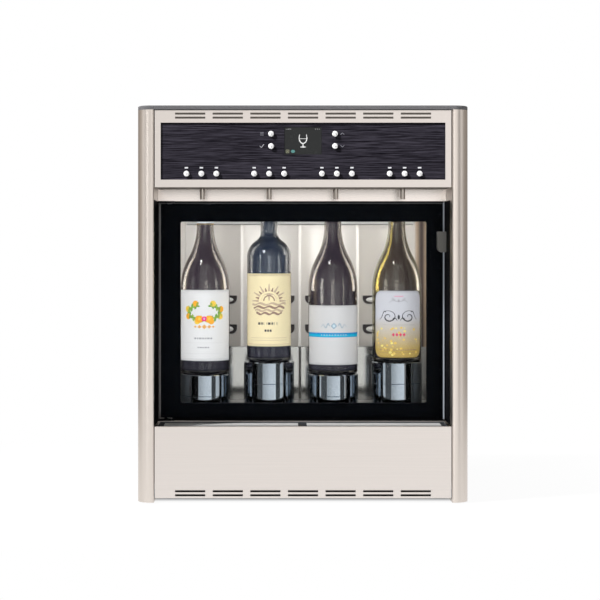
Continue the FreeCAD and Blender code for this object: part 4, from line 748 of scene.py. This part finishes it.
def scrollLabel(look):
    # two mirrored scrolls that meet over a drop, small red diamonds, gold specks towards the foot
    art = []
    t = np.linspace(0, 1, 120)
    for side in (-1, 1):
        # spiral: reach falls as (1 - t)^0.75 while the angle grows
        turn = look["start"] + look["turns"] * t
        reach = look["reach"] * (1 - t) ** 0.75 + 0.6
        x = side * (look["middle"] + reach * np.cos(turn) * look["flat"])
        spiral = np.stack([x, look["z"] + reach * np.sin(turn)], -1)
        art.append((stroke(spiral, 0.8 + 1.5 * np.sin(math.pi * t) ** 2), "black"))
        tail = np.stack([side * (23.5 + 14 * t), 318.4 - 15 * t**1.6 + 2.4 * np.sin(7 * t)], -1)
        art.append((stroke(tail, 1.9 - 1.3 * t), "black"))
        sweep = np.stack([side * (2.4 + 9.2 * t), 303 + 5.2 * np.sin(2.9 * t)], -1)
        art.append((stroke(sweep, 0.7 + 0.9 * np.sin(math.pi * t)), "black"))
        sprig = np.stack([side * (3 + 14 * t), 336.5 + 3.6 * np.sin(3.0 * t) - 2.0 * t], -1)
        art.append((stroke(sprig, 1.2 - 0.6 * t), "grey"))
        art.append((blob(side * 9.5, 341.4, 3.2, 1.3, leaf, turn=side * 0.5), "grey"))
    art.append((blob(0, 309.5, 2.0, 4.2), "black"))
    art.append((blob(0, 338.2, 1.7, 2.6), "grey"))
    art += [(lozenge(x, 346.2, 1.5, 1.0), "pink") for x in look["smallSigns"]]
    art += rules("grey", 31, [295.65], 0.5, 17)
    art += [(lozenge(x, 278.5, 2.6, 3.4), "red") for x in look["redSigns"]]
    rng = np.random.default_rng(look["seed"])
    for k in range(look["specks"]):
        x = rng.uniform(-look["speckHalf"], look["speckHalf"])
        z = look["speckFoot"] + look["speckRise"] * rng.uniform(0, 1) ** 1.3
        size = rng.uniform(1.0, 3.0)
        art.append((blob(x, z, size, size * 0.8, ribbed, 3, 14), "ochre" if k % 3 else "lemon"))
    return art + barRows("brown", look["bars"]) + rules("brown", 40, [246.8], 0.4, 17)


labelArt = [wreathLabel(wreath), sunriseLabel(sunrise), waveLabel(waves), scrollLabel(scrolls)]
labelGap, inkGap, layerStep, labelThick = 0.25, 0.04, 0.02, 0.18

for i, label in enumerate(labels):
    radius = bottleForms[i]["radius"] + labelGap
    sheet = labelSheet(label["width"], label["low"], label["high"], label["corner"])
    makePiece(
        f"label_{i + 1}", [(onBottle(sheet, bottlePlaces[i], radius), 0)], [label["paper"]],
        f"lift_{i + 1}", thickness=labelThick,
    )
    used = sorted({colour for _, colour in labelArt[i]})
    surfaces = [
        (onBottle(flat, bottlePlaces[i], radius + inkGap * (1 + layerStep * k)), used.index(colour))
        for k, (flat, colour) in enumerate(labelArt[i])
    ]
    makePiece(
        f"label_print_{i + 1}", surfaces, [inks[colour] for colour in used], f"lift_{i + 1}"
    )
print("labels printed")

capsule = {"low": 473.4, "band": 475.6, "top": 505.2, "inner": 15.12, "outer": 15.5, "bandOuter": 15.62}
capsuleWhite = grained("capsuleFoil", (0.78, 0.80, 0.84), 0.0, 0.3, 200, 0.03, 0.05, 0.05)
capsuleGold = grained("capsuleGold", (0.78, 0.55, 0.25), 1.0, 0.3, 300, 0.05, 0.05, 0.05)


def sleeve(outer, low, high):
    # closed ring on bottle 1's neck: a rectangle of radius and height, turned
    inner = capsule["inner"]
    profile = [(inner, low), (outer, low), (outer, high), (inner, high)]
    return turned(profile, (bottlePlaces[0], bottleAxis))


makePiece("capsule_1", [
    (sleeve(capsule["outer"], capsule["band"], capsule["top"]), 0, True, True),
    (sleeve(capsule["bandOuter"], capsule["low"], capsule["band"]), 1, True, True),
], [capsuleWhite, capsuleGold], "lift_1", smooth=False)


# Marks beside the menu buttons, and what the display shows

marks = {
    "y": -185.56, "leftX": -69.5, "rightX": 66.5, "upper": 624.3, "lower": 603.5,
    "bars": (-2.2, 0.0, 2.2), "barHalf": 3.0, "barThick": 0.8,
    "tick": ((-3.4, 0.2), (-1.0, -2.4), (3.6, 3.0)), "tickWidth": 1.1,
    "chevron": ((-3.2, -1.4), (0, 1.6), (3.2, -1.4)), "chevronWidth": 0.9,
}
markInk = ink("markInk", (0.42, 0.42, 0.45))
faintInk = ink("faintInk", (0.22, 0.22, 0.25))


def twoRuns(corners, first, second):
    # two straight runs of points that share their corner
    a, b, c = corners
    return np.concatenate([np.linspace(a, b, first), np.linspace(b, c, second)[1:]])


flats = []
for row in marks["bars"]:
    middle, half, thin = marks["upper"] + row, marks["barHalf"], marks["barThick"] / 2
    flats.append((patch(marks["leftX"] - half, marks["leftX"] + half, middle - thin, middle + thin), 1))
tick = twoRuns(marks["tick"], 8, 12) + [marks["leftX"], marks["lower"]]
flats.append((stroke(tick, marks["tickWidth"]), 0))
for level, way in ((marks["upper"], 1), (marks["lower"], -1)):
    chevron = twoRuns(np.array(marks["chevron"]) * [1, way], 8, 8) + [marks["rightX"], level]
    flats.append((stroke(chevron, marks["chevronWidth"]), 1))
makePiece(
    "button_marks", [(onPlane(flat, marks["y"]), pick) for flat, pick in flats], [markInk, faintInk],
    "cabinet", smooth=False,
)


def glow(name, colour, strength):
    # a satin finish, a tenth darker in its grain, with a weak light of its own
    material, tree, shader = startMaterial(name)
    colours = blendColours(tree, grain(tree, 300), shade(colour, 0.9), colour)
    tree.links.new(colours, shader.inputs["Base Color"])
    setShader(shader, Roughness=0.4, Emission_Color=colour, Emission_Strength=strength, Specular_IOR_Level=0.1)
    return material


screen = {
    "y": -185.06, "layer": 0.002,
    "bowl": (0, 617.6, 6.6, 9.6), "bowlLine": 1.6, "sideLow": (6.6, 617.3), "sideHigh": (5.7, 623.0),
    "sideLine": 1.4, "stem": (-0.8, 0.8, 602.2, 608.4), "foot": (0, 602.0, 4.9, 1.0),
    "fill": ((-6.0, 616.0), (6.0, 616.0)), "fillLine": 0.7,
    "topBars": ((-28.2, 1.2), (-25.0, 2.6), (-21.6, 3.0), (21.0, 1.4), (24.4, 1.8), (27.6, 1.6)),
    "topLow": 631.6, "topHigh": 632.7,
    "square": (-26.2, 594.6), "squareHalf": 2.3, "squareLine": 0.9, "dot": 1.1, "flower": (-17.0, 594.6, 3.4, 2.6),
}
screenInks = [
    glow("screenWhite", (0.80, 0.80, 0.79), 0.1), glow("screenYellow", (0.28, 0.28, 0.19), 0.05),
    glow("screenTeal", (0.11, 0.27, 0.26), 0.05), glow("screenDim", (0.30, 0.30, 0.30), 0.05),
]


def mirrored(point, side):
    # side is 1 or -1
    return (side * point[0], point[1])


# a wine glass: half an egg for the bowl, a stem and a foot
flats = [(stroke(arc(*screen["bowl"], 180, 360, 40), screen["bowlLine"]), 0)]
for side in (-1, 1):
    edge = np.linspace(mirrored(screen["sideLow"], side), mirrored(screen["sideHigh"], side), 8)
    flats.append((stroke(edge, screen["sideLine"]), 0))
flats += [(patch(*screen["stem"]), 0), (blob(*screen["foot"]), 0)]
flats.append((stroke(np.linspace(*screen["fill"], 12), screen["fillLine"]), 0))
for x, width in screen["topBars"]:
    flats.append((patch(x - width / 2, x + width / 2, screen["topLow"], screen["topHigh"]), 3))
turnRound = np.array([(-1, -1), (1, -1), (1, 1), (-1, 1), (-1, -1)]) * screen["squareHalf"]  # corners in order
squarePath = np.concatenate([np.linspace(a, b, 6) for a, b in zip(turnRound[:-1], turnRound[1:])])
flats.append((stroke(squarePath + screen["square"], screen["squareLine"]), 1))
flats.append((blob(*screen["square"], screen["dot"], screen["dot"]), 1))
flats.append((blob(*screen["flower"], ribbed), 2))
surfaces = [(onPlane(flat, screen["y"] - screen["layer"] * k), pick) for k, (flat, pick) in enumerate(flats)]
makePiece("display_picture", surfaces, screenInks, "cabinet", smooth=False)
print("control plate marked")


# Polished edge of the door's front pane: a narrow rim just in front of the glass; on the right it glows as a painted
# highlight, on the left and top it is a darker grey copy, painted shade

rim = {"half": 248.0, "bottom": 134.0, "top": 510.0, "y": -100.04, "left": 0.7, "side": 2.4, "upper": 1.2}
paintedEdgeHighlight = glow("paneEdgeBright", (0.34, 0.37, 0.41), 0.30)
paintedEdgeShade = grained("paneEdgeGrey", (0.060, 0.062, 0.066), 0.0, 0.3, 20, 0.1, 0.05, 0.0)
half, low, high, inner = rim["half"], rim["bottom"], rim["top"], rim["half"] - rim["side"]
flats = [
    (patch(inner, half, low, high, 2, 12), 0), (patch(-half, -half + rim["left"], low, high, 2, 12), 1),
    (patch(-half, inner, high - rim["upper"], high, 12, 2), 1),
]
surfaces = [(onPlane(flat, rim["y"]), pick) for flat, pick in flats]
makePiece("pane_edge", surfaces, [paintedEdgeHighlight, paintedEdgeShade], "door", smooth=False)

# Bars along the width: x0, x1, y0, y1, z0, z1 of each; finish, body, slot
sealRubber = grained("sealRubber", (0.0016, 0.0018, 0.0024), 0.0, 0.6, 300, 0.2, 0.05, 0.1, 0.05)
soffitDark, baffleSteel = finishes["soffitDark"], finishes["baffleSteel"]
strips = {
    # a lip on the cabinet over the door's head, a sweep under its foot that swings with it
    "head_seal": ([(-222, 247, -95.5, -92.5, 510.4, 513.3)], sealRubber, "cabinet", "gasket"),
    "door_sweep": ([
        (-226, 246, -99.8, -96.6, 131.3, 134.0), (-226, 246, -95.9, -92.0, 131.4, 136.2),
        (-226, 246, -95.9, -93.0, 507.8, 509.9),
    ], sealRubber, "door", "gasket"),
    # small black caps over the hinge plates, above and below the pane
    "hinge_caps": ([
        (-249.4, -222, -103.2, -102.4, 510.4, 513.2), (-249.4, -222, -103.2, -102.4, 131.0, 133.7),
    ], sealRubber, "cabinet", "gasket"),
    # dark sheets that are painted shade: the underside between the fascia and the tap rail, a sheet behind the vent
    # slots, a lip under the light bar
    "soffit": ([(-248, 248, -185.5, -100.6, 533.4, 533.9)], soffitDark, "cabinet", "champagne_steel"),
    "slot_baffle": ([(-238, 238, -185.3, -184.9, 647.6, 661.4)], baffleSteel, "cabinet", "champagne_steel"),
    "light_bar_lip": ([(-209, 209, 66.0, 66.9, 474.2, 475.3)], baffleSteel, "cabinet", "liner"),
}
for name, (bars, finish, body, slot) in strips.items():
    makePiece(name, [(barBox(*bar), 0, True, False) for bar in bars], [finish], body, smooth=False)
print("door sealed")


# Air openings: a dark back that is painted shade inside each, a pale hood pressed forward in each, and a rim round
# its lower edge

louvre = {
    "centres": [-160.5, -53.5, 53.5, 160.5], "levels": [(327.5, 343.4), (271.9, 289.8)],
    "trough": 90.0, "troughAxis": 6.0, "half": 45.0, "corner": 12.0,
    "back": 6.0, "backHalf": 49.0, "backMargin": 4.0,
    "hoodHalf": 37.5, "hoodLow": 2.6, "hoodHigh": 2.4, "hoodStand": 3.0, "bulge": 4.0,
    "rim": 2.6, "rimDrop": 1.0, "rimStand": 0.5,
}


def onTrough(flat, centre, inset):
    # the trough is part of a cylinder: y = axis + sqrt((radius - inset)^2 - x^2)
    radius = louvre["trough"] - inset
    y = louvre["troughAxis"] + np.sqrt(np.maximum(radius**2 - flat[..., 0] ** 2, 0))
    return np.stack([centre + flat[..., 0], y, flat[..., 1]], -1)


def hood(low, high):
    # half height (1 - (x / half)^4)^(1/2) of its middle, pressed forward by a half wave from foot to head
    x, share = np.meshgrid(np.linspace(-1, 1, 33), np.linspace(0, 1, 13), indexing="ij")
    tall = np.sqrt(np.maximum(1 - x**4, 0.0)) * (high - low) / 2
    z = (low + high) / 2 + tall * (2 * share - 1)
    forward = louvre["bulge"] * np.sin(math.pi * share) * np.sqrt(np.maximum(1 - x**2, 0))
    return np.stack([x * louvre["hoodHalf"], z], -1), forward


def rimPath(low, high):
    # down one end, round the corner, along the foot and up the other end
    half, corner = louvre["half"], louvre["corner"]
    return np.concatenate([
        np.linspace((-half, high), (-half, low + corner), 4)[:-1],
        arc(-half + corner, low + corner, corner, corner, 180, 270, 12)[:-1],
        np.linspace((-half + corner, low), (half - corner, low), 20)[:-1],
        arc(half - corner, low + corner, corner, corner, 270, 360, 12)[:-1],
        np.linspace((half, low + corner), (half, high), 4),
    ])


hoodPale = grained("louvreHood", (0.86, 0.85, 0.83), 0.25, 0.35, 200, 0.02, 0.04, 0.0)
rimPale = grained("louvreRim", (0.74, 0.72, 0.69), 0.5, 0.35, 200, 0.02, 0.04, 0.0)
ventPaintedShade = grained("louvreShade", (0.055, 0.045, 0.048), 0.0, 0.6, 200, 0.1, 0.05, 0.0)
surfaces = []
for centre in louvre["centres"]:
    for low, high in louvre["levels"]:
        half, margin = louvre["backHalf"], louvre["backMargin"]
        back = patch(-half, half, low - margin, high + margin, 25, 3)
        flat, forward = hood(low + louvre["hoodLow"], high - louvre["hoodHigh"])
        edge = stroke(rimPath(low - louvre["rimDrop"], high), louvre["rim"])
        surfaces.append((onTrough(back, centre, -louvre["back"]), 2))
        surfaces.append((onTrough(flat, centre, forward - louvre["hoodStand"]), 0))
        surfaces.append((onTrough(edge, centre, louvre["rimStand"]), 1))
makePiece("louvre_hoods", surfaces, [hoodPale, rimPale, ventPaintedShade], "cabinet")
print("air openings hooded")


# A shallow grey mark in the middle of each button

buttonMark = {"radius": 1.0, "flat": 0.8, "y": -189.53, "rise": 0.02}
markGrey = ink("buttonMarkGrey", (0.62, 0.62, 0.63))
disc = [
    (buttonMark["radius"], 0.0), (buttonMark["radius"] * buttonMark["flat"], buttonMark["rise"]),
    (0.0, buttonMark["rise"]),
]
for name in buttons:
    corners = np.array(nodes[name].bound_box) / mm
    middle = (corners.min(0) + corners.max(0)) / 2
    mark = turned(disc, (middle[0], middle[2]), 18, buttonMark["y"])
    makePiece(f"{name}_mark", [(mark, 0, True, False)], [markGrey], f"{name}_body")
print("buttons marked")


# Studio: white surroundings, floor, lamps, camera. Lengths in metres

warm, plain = (1.0, 0.92, 0.84), (1.0, 0.985, 0.97)
sky = {
    "brightest": 1.4, "diffuse": (0.23, 0.23, 0.235),
    # degrees from the camera's side, right positive; strength; tint
    "stops": [
        (-180, 0.30, warm), (-118, 0.42, warm), (-84, 0.56, warm), (-82, 1.0, plain), (-59, 1.0, plain),
        (-57, 0.14, plain), (-31, 0.14, plain), (-29, 0.66, plain), (-8, 0.97, plain), (0, 1.14, plain),
        (30, 1.35, plain), (31.5, 0.10, plain), (50.5, 0.10, plain), (52, 1.0, plain), (75, 1.0, plain),
        (77, 0.30, warm), (104, 0.40, warm), (126, 0.30, warm), (180, 0.30, warm),
    ],
}


def studioWorld(look):
    # mirrors see softboxes and dark gaps by the direction's azimuth, atan2(x, -y); eye and glass see white
    world = bpy.data.worlds.new("studio")
    world.use_nodes = True
    scene.world = world
    tree = world.node_tree
    place = addNode(tree, "TexCoord")
    split = addNode(tree, "SeparateXYZ")
    flip = addNode(tree, "Math", {"operation": "MULTIPLY"})
    flip.inputs[1].default_value = -1.0
    turn = addNode(tree, "Math", {"operation": "ARCTAN2"})
    share = addNode(tree, "MapRange", From_Min=-math.pi, From_Max=math.pi)
    ramp = colourRamp(tree, [
        ((degrees + 180) / 360, tuple(value * part / look["brightest"] for part in tint))
        for degrees, value, tint in look["stops"]
    ])
    scaled = addNode(tree, "VectorMath", {"operation": "SCALE"}, Scale=look["brightest"])
    rays = addNode(tree, "LightPath")
    white = addNode(tree, "Math", {"operation": "MAXIMUM"})
    soft = addNode(tree, "Mix", {"data_type": "RGBA"})
    soft.inputs[6].default_value = (*look["diffuse"], 1)
    final = addNode(tree, "Mix", {"data_type": "RGBA"})
    final.inputs[7].default_value = (1, 1, 1, 1)
    wire(
        tree, (place, "Generated", split, 0), (split, "Y", flip, 0), (split, "X", turn, 0),
        (flip, 0, turn, 1), (turn, 0, share, "Value"), (share, 0, ramp, "Fac"), (ramp, "Color", scaled, 0),
        (rays, "Is Camera Ray", white, 0), (rays, "Is Transmission Ray", white, 1),
        (rays, "Is Glossy Ray", soft, 0), (scaled, 0, soft, 7), (white, 0, final, 0), (soft, 2, final, 6),
        (final, 2, tree.nodes["Background"], "Color"),
    )


floorLook = {
    "radius": 1.6, "rings": 24, "steps": 97, "colour": (0.86, 0.86, 0.86), "rough": 0.9,
    "halfWidth": 0.245, "halfDepth": 0.128, "reach": 0.037, "under": 0.10, "near": 0.95,
    "fadeFrom": 0.06, "fadeTo": 0.5,
}


def studioFloor(look):
    # disc: radius by rows, angle by columns; white to the eye, fading into the surroundings, still shaded
    radius, angle = np.meshgrid(
        np.linspace(0.01, look["radius"], look["rings"]), np.linspace(0, 2 * math.pi, look["steps"]),
        indexing="ij",
    )
    points = np.stack([radius * np.cos(angle), radius * np.sin(angle), 0 * radius], -1)
    mesh = bpy.data.meshes.new("floor")
    mesh.from_pydata(points.reshape(-1, 3).tolist(), [], gridQuads(look["rings"], look["steps"]).tolist())
    floor = bpy.data.objects.new("floor", mesh)
    scene.collection.objects.link(floor)
    material, tree, shader = startMaterial("floorWhite")
    setShader(shader, Base_Color=look["colour"], Roughness=look["rough"], Specular_IOR_Level=0.0)
    light = addNode(tree, "Emission", Color=(1, 1, 1, 1), Strength=1.0)
    rays = addNode(tree, "LightPath")
    eye, seen, larger = [addNode(tree, "Math", {"operation": "MAXIMUM"}) for _ in range(3)]
    place = addNode(tree, "TexCoord")
    # distance outside the machine's footprint: the larger of |x| - half width and |y| - half depth
    spread = addNode(tree, "VectorMath", {"operation": "ABSOLUTE"})
    beyond = addNode(tree, "VectorMath", {"operation": "SUBTRACT"})
    beyond.inputs[1].default_value = (look["halfWidth"], look["halfDepth"], 0)
    split = addNode(tree, "SeparateXYZ")
    close = addNode(tree, "MapRange", From_Max=look["reach"], To_Min=look["under"], To_Max=look["near"])
    away = addNode(
        tree, "MapRange", From_Min=look["fadeFrom"], From_Max=look["fadeTo"], To_Min=1.0, To_Max=1 / look["near"]
    )
    fade, share = [addNode(tree, "Math", {"operation": "MULTIPLY"}) for _ in range(2)]
    mix = addNode(tree, "MixShader")
    wire(
        tree, (rays, "Is Camera Ray", eye, 0), (rays, "Is Glossy Ray", eye, 1), (eye, 0, seen, 0),
        (rays, "Is Transmission Ray", seen, 1), (place, "Object", spread, 0), (spread, 0, beyond, 0),
        (beyond, 0, split, 0), (split, "X", larger, 0), (split, "Y", larger, 1), (larger, 0, close, "Value"),
        (larger, 0, away, "Value"), (close, 0, fade, 0), (away, 0, fade, 1), (seen, 0, share, 0),
        (fade, 0, share, 1), (share, 0, mix, 0), (shader, 0, mix, 1), (light, 0, mix, 2),
        (mix, 0, tree.nodes["Material Output"], "Surface"),
    )
    mesh.materials.append(material)


def addLamp(name, kind, power, direction, glossy, only):
    # with a list of objects the lamp lights those alone; glossy says whether mirrors see it
    light = bpy.data.lights.new(name, kind)
    light.energy = power
    lamp = bpy.data.objects.new(name, light)
    lamp.rotation_euler = Vector(direction).to_track_quat("-Z", "Y").to_euler()
    lamp.visible_glossy = glossy
    scene.collection.objects.link(lamp)
    if only:
        group = bpy.data.collections.new(name + "Receivers")
        for thing in only:
            group.objects.link(thing)
        lamp.light_linking.receiver_collection = group
    return lamp, light


def keyLamp(name, power, only):
    # light from the upper left on what stands outside the cabinet; it gives the buttons their shadows
    lamp, light = addLamp(name, "SUN", power, (9.0, 4.0, -9.5), False, only)
    light.angle = math.radians(5)


def areaLamp(name, place, direction, width, height, power, colour=(1, 1, 1), glossy=False, only=None, shadow=True):
    # a rectangle of light that the camera doesn't see
    lamp, light = addLamp(name, "AREA", power, direction, glossy, only)
    light.shape = "RECTANGLE"
    light.size, light.size_y, light.color, light.use_shadow = width, height, colour, shadow
    lamp.location = place
    lamp.visible_camera = False


studioWorld(sky)
studioFloor(floorLook)

# the sun lights the floor too; what stands inside the cabinet it leaves out
sheltered = (
    "bottle", "cabinet_liner", "niche", "lower_back", "light_bar", "wine_", "label_", "capsule", "louvre", "dip_",
)
outside = [thing for thing in scene.objects if thing.type == "MESH" and not thing.name.startswith(sheltered)]
glasses = [nodes[f"bottle_{i + 1}"] for i in range(4)]
bay = glasses + [piece for piece in scene.objects if piece.name.startswith(("wine_", "label_", "capsule_"))]
backs = [nodes["niche_panel"], nodes["lower_back_panels"], bpy.data.objects["louvre_hoods"]]
leftSide, rightSide = [nodes["left_side_panel"]], [nodes["right_side_panel"]]

keyLamp("outsideKey", 5.6, outside)
keyLamp("plateKey", 12.0, [nodes["control_plate"]])

# place, direction, width, height, power, then colour, seen in mirrors, what it lights, shadow
areaLamp("frontSoft", (0.9, -2.2, 1.3), (-0.4, 1, -0.4), 1.2, 1.2, 5)
areaLamp("rearSoft", (0.6, 2.3, 1.4), (-0.3, -1, -0.45), 1.4, 1.4, 26)
areaLamp("cabinetCeiling", (0, -0.045, 0.504), (0, 0.15, -1), 0.42, 0.03, 0.54, (1.0, 0.97, 0.93), False, backs)
areaLamp("cabinetFront", (0, -0.069, 0.47), (0, 1, -0.9), 0.43, 0.02, 0.56, (1.0, 0.98, 0.96), False, backs)

# three washes over the bottles, from the left, the front and the right, that aim at one point
wash = {
    "places": [(-1.3, -0.85, 0.42), (0, -1.6, 0.42), (1.3, -0.85, 0.42)], "powers": [13, 7, 8.5],
    "aim": (0, -0.05, 0.32), "width": 0.5, "height": 0.7,
}
for k, (place, power) in enumerate(zip(wash["places"], wash["powers"])):
    way = [goal - start for goal, start in zip(wash["aim"], place)]
    areaLamp(f"bayWash{k}", place, way, wash["width"], wash["height"], power, only=bay, shadow=False)

# slim lamps between the bottles draw a line along each side of the glass, a small one a spark on its shoulder
pale, gold = (1.0, 0.94, 0.84), (1.0, 0.80, 0.20)
sideLines = {"y": -0.034, "z": 0.43, "width": 0.010, "height": 0.15, "lamps": [
    # x, the way it faces, power, colour
    (-0.225, 1, 0.040, pale), (-0.1154, -1, 0.040, pale), (-0.1134, 1, 0.018, pale), (-0.001, -1, 0.018, pale),
    (0.001, 1, 0.040, pale), (0.1134, -1, 0.034, pale), (0.1154, 1, 0.060, gold), (0.225, -1, 0.036, pale),
]}
for k, (x, way, power, colour) in enumerate(sideLines["lamps"]):
    areaLamp(
        f"lineLamp{k + 1}", (x, sideLines["y"], sideLines["z"]), (way, 0, 0), sideLines["width"],
        sideLines["height"], power, colour, True, glasses, False,
    )
spark = {
    "aside": -0.025, "y": -0.085, "z": 0.445, "way": (0.335, 0.579, -0.743), "size": (0.010, 0.012), "power": 0.013,
}
for k, x in enumerate(bottlePlaces):
    areaLamp(
        f"sparkLamp{k + 1}", (x * mm + spark["aside"], spark["y"], spark["z"]), spark["way"], *spark["size"],
        spark["power"], (1, 1, 1), True, glasses[k:k + 1], False,
    )
areaLamp("backStrip", (0.29, -0.26, 0.33), (-0.29, 0.35, 0), 0.09, 0.42, 0.40, (0.97, 0.98, 1.0), True, backs, False)
areaLamp("pillarStrip", (-1.19, -1.37, 0.35), (0.92, 1.18, 0), 0.22, 2.0, 4.2, (1, 1, 1), True, leftSide, False)
areaLamp("noseStrip", (-0.10, -1.75, 0.35), (0.36, 1.55, 0), 0.2, 2.0, 4.0, (1, 1, 1), True, rightSide, False)

view = {
    "sensor": 36.0, "lens": 96.11, "shiftX": 0.0542, "shiftY": -0.0833, "far": 50, "place": (-0.060, -2.890, 0.428),
}
lens = bpy.data.cameras.new("camera")
lens.sensor_width, lens.lens, lens.clip_end = view["sensor"], view["lens"], view["far"]
lens.shift_x, lens.shift_y = view["shiftX"], view["shiftY"]
eye = bpy.data.objects.new("camera", lens)
eye.location = view["place"]
eye.rotation_euler = (math.pi / 2, 0, 0)
scene.collection.objects.link(eye)
scene.camera = eye
scene.view_settings.view_transform = "Standard"
print("studio lit")
